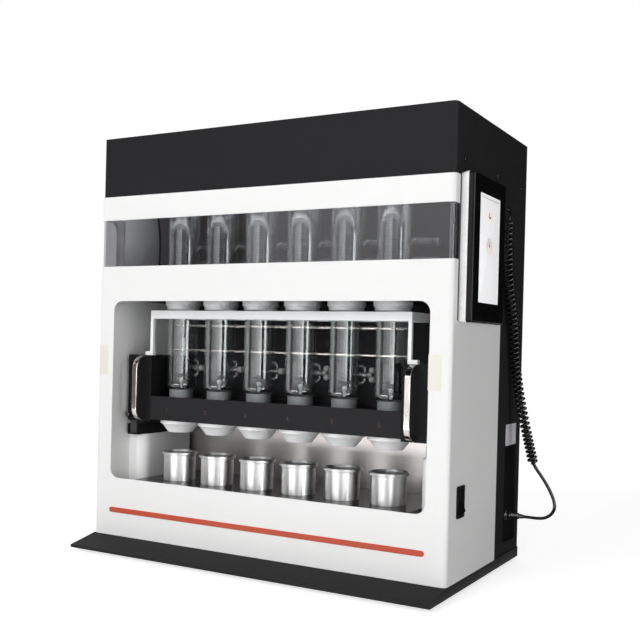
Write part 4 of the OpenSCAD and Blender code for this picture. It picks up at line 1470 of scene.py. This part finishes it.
@dataclass
class Condensers:
    """Smoked window, jackets, coils, collars and cooling water."""

    jacket_radius: float = 30.0
    neck_radius: float = 20.0
    crown_radius: float = 12.0
    bend: float = 12.0
    wall: float = 2.0
    base_z: float = 474.0
    top_z: float = 628.0
    coil_radius: float = 20.0
    coil_tube: float = 2.0
    turns: int = 28
    per_turn: int = 20
    arms: Pair = (526.5, 558.5)

    def jacket(self, x: float) -> Shape:
        """Makes one jacket with its two arms.

        Args:
            x: The middle of its station.

        Returns:
            The shape.
        """
        r, neck, crown = self.jacket_radius, self.neck_radius, self.crown_radius
        low = [math.radians(a) for a in range(15, 91, 15)]
        high = [math.radians(a) for a in range(0, 91, 15)]
        outer = [(neck, 443), (neck, 460)]
        outer += [(neck + (r - neck) * math.sin(t), self.base_z - self.bend * math.cos(t)) for t in low]
        outer += [(crown + (r - crown) * math.cos(t), self.top_z + self.bend * math.sin(t)) for t in high]
        outer += [(crown, 656)]
        inner = [(radius - self.wall, z) for radius, z in outer]
        made = lathe(outer + inner[::-1], (x, STATION_Y, 0.0), Axis.Z, 64, hollow=True)
        y = STATION_Y
        for z in self.arms:
            bend = smooth_path([(x + 28.6, y, z - 8), (x + 33, y, z - 3), (x + 36, y, z), (x + 41, y, z)], 6)
            made.join(tube(bend, 3.5, 14, 2.2))
        return made

    def coil(self, x: float) -> Shape:
        """Makes one wound coil with its two straight ends.

        Args:
            x: The middle of its station.

        Returns:
            The shape.
        """
        steps = self.turns * self.per_turn
        low, high = self.base_z + 4.0, self.top_z - 4.0
        line = [Vector((x, STATION_Y, self.base_z - 12)), Vector((x, STATION_Y, self.base_z - 4))]
        for k in range(steps + 1):
            radius = eased_radius(self.coil_radius, min(min(k, steps - k) / self.per_turn, 1.0))
            turn = 2 * math.pi * k / self.per_turn
            z = low + (high - low) * k / steps
            line.append(Vector((x + radius * math.cos(turn), STATION_Y + radius * math.sin(turn), z)))
        line += [Vector((x, STATION_Y, self.top_z + 4)), Vector((x, STATION_Y, self.top_z + 12))]
        return tube(line, self.coil_tube, 8)

    def collar(self, x: float) -> Shape:
        """Makes one collar under the bay's ceiling.

        Args:
            x: The middle of its station.

        Returns:
            The shape.
        """
        skirt = [(20.5, 440), (29.4, 440), (30.2, 440.8), (30.6, 446), (31.4, 447), (32.2, 447.2)]
        flange = [(33, 448.4), (33, 456), (20.5, 456)]
        return lathe(skirt + flange, (x, STATION_Y, 0.0), Axis.Z, 72, hollow=True)

    def end_sheet(self, x: float, thick: float, front: float, finish: Finish, name: str) -> None:
        """Sets a dark sheet with a bowed front edge on the chamber's left end, as painted shade.

        Args:
            x: Its back.
            thick: Its thickness.
            front: Where its edge starts, at top and bottom.
            finish: Its finish.
            name: The piece's name.
        """
        edge = [(front + 22.0 * (1.0 - (k / 12.0) ** 2), 566.0 + 9.0 * k) for k in range(-12, 13)]
        loop = [*edge, (204.0, 674.0), (204.0, 458.0)]
        faces = [[at(x + d, y, z) for y, z in loop] for d in (0.0, thick)]
        grid(faces, caps=True).piece(name, finish, Body.CABINET)

    def hose(self, x: float, z: float) -> Shape:
        """Makes one hose from a jacket's arm to the water pipe.

        Args:
            x: The middle of its station.
            z: The arm's height.

        Returns:
            The shape.
        """
        turns = [math.radians(a) for a in range(0, 91, 10)]
        bend = [Vector((x + 40 + 12 * math.sin(t), STATION_Y + 12 - 12 * math.cos(t), z)) for t in turns]
        return tube([*bend, Vector((x + 52, STATION_Y + 25, z)), Vector((x + 52, 118, z))], 4.5, 16)

    def build(self) -> None:
        """Makes the glass and the water parts."""
        dress_nodes(SMOKED, "condenser_window")
        dress_nodes(DIM, "water_manifolds")
        dress_nodes(BRASS, "water_ports")
        jackets, coils, collars, hoses = Shape(), Shape(), Shape(), Shape()
        for x in STATIONS:
            jackets.join(self.jacket(x))
            coils.join(self.coil(x))
            collars.join(self.collar(x))
            hoses.join(*(self.hose(x, z) for z in self.arms))
        jackets.piece(
            "condenser_jacket_glass", JACKET_GLASS, Body.CABINET, ["condenser_jackets"], "clear_glass", 50.0
        )
        coils.piece(
            "condenser_coil_glass", COIL_GLASS, Body.CABINET, ["condenser_coils"], "clear_glass", 60.0
        )
        collars.piece("collar_rings", COLLAR, Body.CABINET, ["condenser_collars"], "collar_plastic")
        hoses.piece("hose_runs", HOSE_GLASS, Body.CABINET, ["water_hoses"], "hose_silicone", 60.0)
        # Pale strips on the pane's two ends: painted highlights where its cut edge and bent corner catch the
        # light.
        for name, x, y, wide in (("left", -350.0, 62.0, 2.8), ("right", 343.4, 12.0, 5.6)):
            slab(Axis.Y, (x, y, 560.6), (wide, 101.0), 0.3, 0.6).piece(
                f"pane_edge_{name}", PANE_EDGE_HIGHLIGHT, Body.CABINET
            )
        # Sheets on the chamber's left wall are painted shade: a grey sheet darkens its deeper part, a dim
        # sheet lies behind the bowed edge, and a near-black strip along that edge is a painted shadow.
        slab(Axis.X, (-351.5, 134.0, 566.0), (140.0, 216.0), 0.12, 1.0).piece(
            "chamber_wall_sheet", GREY, Body.CABINET
        )
        self.end_sheet(-351.2, 0.6, 152.0, DIM, "chamber_end_sheet")
        self.end_sheet(-351.4, 0.3, 146.0, DEEP, "chamber_end_shadow")


@dataclass
class GlassRack:
    """The pull-out rack with its tubes, frame, seals, cheeks and handles."""

    neck_radius: float = 22.5
    tube_radius: float = 29.0
    wall: float = 2.2
    neck_z: float = 238.0
    shoulder_z: float = 291.0
    body_z: float = 303.0
    top_z: float = 434.0
    holder_radius: float = 16.5
    holder_top: float = 352.6
    arm_z: float = 333.0
    rod_y: float = 113.0
    rod_heights: Pair = (365.0, 412.0)
    lock: Pair = (-306.0, 242.0)
    number_size: float = 0.011
    number_y: float = 37.4
    number_z: float = 250.0

    def side(self, inset: float) -> list[Pair]:
        """Draws the side of a tube's wall.

        Args:
            inset: How far inside the outer face.

        Returns:
            Radius and height of each point, from the neck up.
        """
        low, r = self.neck_radius - inset, self.tube_radius - inset
        turns = [math.radians(a) for a in range(10, 91, 10)]
        bend = [(low + (r - low) * math.sin(t), self.body_z - 12 * math.cos(t)) for t in turns]
        return [(low, self.neck_z), (low, self.shoulder_z), *bend, (r, self.top_z)]

    def vessel(self, x: float) -> Shape:
        """Returns one tube's wall, from its neck to its open top."""
        wall = self.side(0.0) + self.side(self.wall)[::-1]
        return lathe(wall, (x, STATION_Y, 0.0), Axis.Z, 72, hollow=True)

    def holder(self, x: float) -> Shape:
        """Makes one inner cup with its floor ring, drain, vapour arch and siphon.

        Args:
            x: The middle of its station.

        Returns:
            The shape.
        """
        centre = (x, STATION_Y, 0.0)
        r, top = self.holder_radius, self.holder_top
        cup = [(4.5, 304), (r - 4, 304.2), (r - 1, 306), (r, 310), (r, top - 2), (r + 1.6, top)]
        inner = [(r + 1, top + 1.4), (r - 1.4, top - 1.6), (r - 1.5, 311)]
        inner += [(r - 2.6, 307.6), (r - 5, 306), (4.5, 305.8)]
        made = lathe(cup + inner, centre, Axis.Z, 48, hollow=True)
        floor = [(16, 304), (26.7, 304), (26.7, 305.9), (16, 305.9)]
        made.join(lathe(floor, centre, Axis.Z, 48, hollow=True))
        drain = [(4.6, 272), (4.6, 304.6), (3.1, 304.6), (3.1, 272)]
        made.join(lathe(drain, centre, Axis.Z, 24, hollow=True))
        turn = math.radians(214)
        out = Vector((math.cos(turn), math.sin(turn), 0.0))
        bend = Vector(centre) + 10.0 * out
        turns = [math.radians(a) for a in range(0, 181, 15)]
        crown = [bend + out * 11.0 * math.cos(t) + Vector((0, 0, 415 + 11.0 * math.sin(t))) for t in turns]
        cane = [bend + 11.0 * out + Vector((0, 0, z)) for z in (306, 330, 356, 382, 402)] + crown
        cane += [bend - 11.0 * out + Vector((0, 0, z)) for z in (408, 398, 388)]
        made.join(tube(cane, 4.6, 18, 3.4))
        y = STATION_Y
        siphon = smooth_path([
            (x + 15, y - 4, 309), (x + 20.5, y - 5, 311), (x + 22.5, y - 5, 318), (x + 22.5, y - 5, 338),
            (x + 21, y - 8, 346), (x + 18.5, y - 13, 346), (x + 18, y - 15, 338), (x + 18, y - 15, 310),
        ], 7)
        return made.join(tube(siphon, 2.4, 14, 1.4))

    def arms(self, x: float) -> Shape:
        """Makes one tube's side arm with its bypass.

        Args:
            x: The middle of its station.

        Returns:
            The shape.
        """
        y, z = STATION_Y, self.arm_z
        barrel = [(4.2, 26.6), (5.0, 30), (6.4, 33), (6.4, 40), (5.2, 42.5), (5.2, 44)]
        made = lathe([*barrel, (3.2, 44), (3.2, 26.6)], (x, y, z), Axis.X, 28, hollow=True)
        reach = ((27.5, 1.0), (33, 1.0), (37.4, 0.78), (37.8, 0.4))
        for lift in (-14.0, 14.0):
            link = smooth_path([(x + out, y, z + lift * share) for out, share in reach], 7)
            made.join(tube(link, 2.9, 14, 1.8))
        return made

    def stopper(self, x: float, turned: bool) -> Shape:
        """Makes one side arm's stopcock key.

        Args:
            x: The middle of its tube.
            turned: Whether its wings lie flat.

        Returns:
            The hub and its two wings.
        """
        hub = [(0.01, 44.0), (3.6, 44.0), (4.0, 46.0), (4.0, 51.0), (0.01, 51.6)]
        made = lathe(hub, (x, STATION_Y, self.arm_z), Axis.X, 24)
        wing = [(0.01, 46.6), (3.2, 46.9), (4.8, 48.0), (5.2, 49.6)]
        wing += [(5.2, 53.4), (4.4, 55.2), (2.6, 56.0), (0.01, 56.0)]
        for side in (-7.6, 7.6):
            shift = (side, 0.0) if turned else (0.0, side)
            made.join(lathe(wing, (x, STATION_Y + shift[0], self.arm_z + shift[1]), Axis.X, 24))
        return made

    def seal(self, x: float) -> Shape:
        """Makes one cup seal with its hub.

        Args:
            x: The middle of its station.

        Returns:
            The shape.
        """
        cone = [(18, 211.6), (18.6, 211), (22.4, 211), (23.4, 211.5), (24, 212.6), (34.5, 226.6)]
        cone += [(35.1, 227), (36.5, 227), (37.2, 227.3), (37.5, 228), (37.5, 234)]
        hub = [(27, 234), (27, 273.5), (22.75, 273.5), (22.75, 238), (18, 238)]
        return lathe(cone + hub, (x, STATION_Y, 0.0), Axis.Z, 72, hollow=True)

    def handle(self, side: int) -> Shape:
        """Makes one bowed handle.

        Args:
            side: 1 for the right and -1 for the left.

        Returns:
            The shape.
        """
        low = arc((37.0, 255.0), 22.0, -90.0, -180.0, 14)
        high = arc((37.0, 329.0), 22.0, 180.0, 90.0, 14)
        path = [(38.0, 233.0), *low, *high, (38.0, 351.0)]
        middle = Vector((side * 276.0, 0.0, 0.0))
        rings = []
        for k, (y, z) in enumerate(path):
            a, b = path[max(k - 1, 0)], path[min(k + 1, len(path) - 1)]
            along = Vector((0.0, b[0] - a[0], b[1] - a[1])).normalized()
            across = Vector((0.0, -along.z, along.y))
            point = middle + Vector((0.0, y, z))
            section = outline(10.0, 4.0, 0.8, 5)
            rings.append([at(*(point + Vector((u, 0.0, 0.0)) + across * v)) for u, v in section])
        return grid(rings, caps=True)

    def marks(self) -> None:
        """Numbers the stations on the front bar and nicks the rods between them."""
        shapes = Shape()
        for k, x in enumerate(STATIONS, 1):
            curve = bpy.data.curves.new(f"station_number_{k}", "FONT")
            curve.body = str(k)
            curve.size = self.number_size
            curve.align_x = "CENTER"
            holder = bpy.data.objects.new(curve.name, curve)
            bpy.context.scene.collection.objects.link(holder)
            graph = bpy.context.evaluated_depsgraph_get()
            flat = bpy.data.meshes.new_from_object(holder.evaluated_get(graph))
            place = Matrix.Translation(at(x, self.number_y, self.number_z))
            place = place @ Matrix.Rotation(math.pi / 2, 4, "X")
            faces = [tuple(p.vertices) for p in flat.polygons]
            shapes.join(Shape([place @ v.co for v in flat.vertices], faces))
            bpy.data.objects.remove(holder)
        shapes.piece("station_numbers", MARK, Body.RACK)
        turns = [2 * math.pi * s / 20 for s in range(20)]
        edges = ((-1.2, 2.6), (-0.9, 2.9), (0.9, 2.9), (1.2, 2.6))
        band = grid([[Vector((p, r * math.cos(t), r * math.sin(t))) * MM for t in turns] for p, r in edges])
        spots = [at(x + 43.5, self.rod_y, z) for x in STATIONS[:-1] for z in self.rod_heights]
        Repeater("nick_setter", NICK).spread("rod_nicks", band, spots, Euler((0.0, 0.0, 0.0)), Body.RACK)

    def build(self) -> None:
        """Makes the glass, the seals and the handles, and dresses the sheet parts."""
        dress_nodes(FRAME, "glass_frame")
        dress_nodes(CHARCOAL, "rack_tray")
        dress_nodes(PAINTED_SHADE_BLACK, "rack_cheeks")
        dress_nodes(RUNNER, "rack_runners")
        stoppers, seals, handles, holders, hubs, rods, plugs = (Shape() for _ in range(7))
        hub = [(5.2, 42.4), (5.8, 42.6), (5.8, 44), (5.2, 44.1)]
        tip = [(0.01, 294), (2.6, 294), (2.6, 303), (4.0, 306.5), (4.2, 309), (3.4, 311), (1.6, 312)]
        tip += [(0.01, 312.2)]
        for k, x in enumerate(STATIONS, 1):
            self.vessel(x).join(self.arms(x)).piece(
                f"tube_glass_{k}", TUBE_GLASS, Body.RACK, [f"extraction_tube_{k}"], "clear_glass", 50.0
            )
            stoppers.join(self.stopper(x, k < 4))
            seals.join(self.seal(x))
            holders.join(self.holder(x))
            plugs.join(lathe(tip, (x, STATION_Y, 0.0), Axis.Z, 24))
            hubs.join(lathe(hub, (x, STATION_Y, self.arm_z), Axis.X, 28, hollow=True))
        handles.join(self.handle(1), self.handle(-1))
        for z in self.rod_heights:
            rods.join(tube([Vector((-263.0, self.rod_y, z)), Vector((234.0, self.rod_y, z))], 2.65, 20))
        rods.piece("rod_sleeves", ROD, Body.RACK)
        plugs.piece("drain_plugs", PTFE, Body.RACK)
        hubs.piece("arm_hubs", NICK, Body.RACK)
        holders.piece("holder_glass", INNER_GLASS, Body.RACK, ["thimble_holders"], "clear_glass", 50.0)
        stoppers.piece("arm_stoppers", STOPPER, Body.RACK, ["side_arm_caps"], "ptfe")
        seals.piece("seal_cones", PTFE, Body.RACK, ["cup_seals"], "ptfe")
        handles.piece("bow_handles", CHROME, Body.RACK, ["grab_handles"], "chrome_metal")
        x, z = self.lock
        stem = [(0, -9), (4.2, -9), (5, -8.2), (5, -1), (4.6, 0), (3, 0), (3, 9), (0, 9)]
        knob = lathe(stem, (x, 38.0, z), Axis.Y, 32)
        knob.join(slab(Axis.Y, (x, 43.0, z + 2.5), (6.0, 11.0), 3.0, 1.0))
        knob.piece("rack_lock_knob", DARK_METAL, Body.LOCK, ["lock_knob"], "chrome_metal")
        # A dark bar standing proud on the knob's face: painted shade in place of a cut slot.
        slab(Axis.Y, (x, 29.3, z), (7.4, 1.2), -0.5, 0.4).piece("rack_lock_slot", NICK, Body.LOCK)
        self.marks()


@dataclass
class HeatedCups:
    """Heating plate, its lift and the six cups."""

    radius: float = 30.0
    floor_z: float = 121.0
    height: float = 53.0

    def cup(self, x: float) -> Shape:
        """Makes one spun cup with its rolled rim.

        Args:
            x: The middle of its station.

        Returns:
            The shape.
        """
        r, low, top = self.radius, self.floor_z, self.floor_z + self.height
        foot = [(0.01, low + 0.6), (20, low + 0.6), (22, low), (r - 0.6, low)]
        foot += arc((r - 0.6, low + 0.6), 0.6, -80, 0, 4)
        side = [(r, top - 7.4), (r + 0.15, top - 6.4), (r + 0.7, top - 5.5)]
        rim = arc((r + 1.5, top - 2.5), 2.5, -80, 215, 16)
        inner = [(r - 1.2, top - 5.0), (r - 1.5, top - 6.5), (r - 1.5, low + 4.5)]
        inner += [*arc((r - 4.5, low + 5), 3.0, -10, -90, 5), (0.01, low + 2)]
        return lathe(foot + side + rim + inner, (x, STATION_Y, 0.0), Axis.Z, 72)

    def liner(self, x: float) -> Shape:
        """Makes the dull, darker skin on one cup's inside: painted shade in the cup's hollow.

        Args:
            x: The middle of its station.

        Returns:
            The shape.
        """
        r, low, top = self.radius - 1.62, self.floor_z + 2.1, self.floor_z + self.height - 3.6
        skin = [(r, top), (r, low + 3), (r - 3, low), (0.01, low), (0.01, low + 0.1), (r - 3, low + 0.1)]
        skin += [(r - 0.1, low + 3), (r - 0.1, top)]
        return lathe(skin, (x, STATION_Y, 0.0), Axis.Z, 72, hollow=True)

    def build(self) -> None:
        """Makes the cups and dresses the lift."""
        dress_nodes(CERAMIC, "heating_plate")
        dress_nodes(GREY, "lift_bracket")
        dress_nodes(BRASS, "lift_nut")
        dress_nodes(TURNED, "lead_screw", "guide_rods")
        dress_nodes(PLASTIC, "lift_motor")
        for k, x in enumerate(STATIONS, 1):
            self.cup(x).piece(f"spun_cup_{k}", SPUN, f"cup_{k}_body", [f"cup_{k}"], "cup_aluminium", 50.0)
            self.liner(x).piece(f"cup_liner_{k}", CUP_INSIDE_SHADE, f"cup_{k}_body")


@dataclass
class Controller:
    """The docked controller with its display."""

    middle: Vector = field(default_factory=lambda: Vector((0.0, 95.25, 537.0)))
    width: float = 151.5
    height: float = 232.0
    face_x: float = 376.5
    display: Pair = (93.25, 538.5)
    sunk: float = 0.3
    proud: float = 0.02
    pin_radius: float = 0.3
    disc_sides: int = 64

    def page(self, name: str, finish: Finish, middle: Pair, size: Pair, lift: float) -> None:
        """Sets one flat field on the display.

        Args:
            name: Its name.
            finish: Its finish.
            middle: Middle along y and z.
            size: Width and height.
            lift: How far it stands on the bezel's face.
        """
        back = (self.face_x - self.sunk, *middle)
        slab(Axis.X, back, size, self.sunk + lift, 1.0).piece(name, finish, Body.CONTROLLER)

    def disc(self, name: str, finish: Finish, middle: Pair, radius: float, thick: float) -> None:
        """Sets one flat disc on the display.

        Args:
            name: Its name.
            finish: Its finish.
            middle: Middle along y and z.
            radius: Its radius. A pin hole is left at its middle.
            thick: Its thickness.
        """
        x, pin = self.face_x + self.proud, self.pin_radius
        rings = []
        for k in range(self.disc_sides):
            turn = math.radians(-90 + 360.0 * k / self.disc_sides)
            y, z = math.cos(turn), math.sin(turn)
            section = ((pin, 0), (radius, 0), (radius, thick), (pin, thick))
            rings.append([at(x + d, middle[0] + r * y, middle[1] + r * z) for r, d in section])
        grid(rings, along=True).piece(name, finish, Body.CONTROLLER)

    def build(self) -> None:
        """Makes the back, the bezel and a plain display."""
        size = (self.width, self.height, 4.5)
        back = [(353.52, 3.4), (353.9, 2.8), (356.0, 1.9), (360.0, 0.9), (364.0, 0.2)]
        back += [(365.5, 0.0), (366.5, 0.0)]
        side_loft(back, size, self.middle).piece(
            "controller_shell", IVORY, Body.CONTROLLER, ["controller_back"], "white_plastic", 30.0
        )
        bezel = [(366.5, 0.9), (366.9, 0.6), (372.1, 0.6), (373.7, 0.9), (374.9, 1.6)]
        bezel += [(375.8, 2.7), (376.3, 3.8), (self.face_x, 5.2)]
        side_loft(bezel, size, self.middle).piece(
            "controller_rim", GLOSS, Body.CONTROLLER, ["controller_bezel"], "gloss_black", 30.0
        )
        y, z = self.display
        slab(Axis.X, (self.face_x - self.sunk, y, z), (93.0, 170.0), 0.35, 0.6).piece(
            "display_page", PAGE, Body.CONTROLLER, ["controller_screen"], "screen_glass"
        )
        self.page("display_header", HEADER, (y, z + 79.0), (86.0, 2.2), 0.12)
        spot = (y - 2.5, z + 52.5)
        self.disc("display_spot", BLUSH, spot, 9.0, 0.12)
        self.page("display_mark", INK, (spot[0] + 1.5, spot[1] - 2.0), (9.0, 3.0), 0.2)
        self.page("display_hook", INK, (spot[0] - 2.5, spot[1] + 1.5), (2.4, 8.0), 0.2)
        dial = (y - 2.0, z + 5.5)
        self.disc("display_disc", FAINT, dial, 13.6, 0.1)
        self.disc("display_glow", BLUSH, (dial[0], dial[1] - 5.4), 7.0, 0.16)
        self.disc("display_dot", INK, dial, 2.2, 0.22)


def main() -> None:
    """Builds the scene in order."""
    logging.basicConfig(level=logging.INFO, format="%(name)s %(message)s")
    Studio().build()
    CoiledCord().build()
    for part in (Cabinet(), Condensers(), GlassRack(), HeatedCups(), Controller()):
        part.build()
        LOG.info("%s dressed", type(part).__name__)


if __name__ == "__main__":
    main()
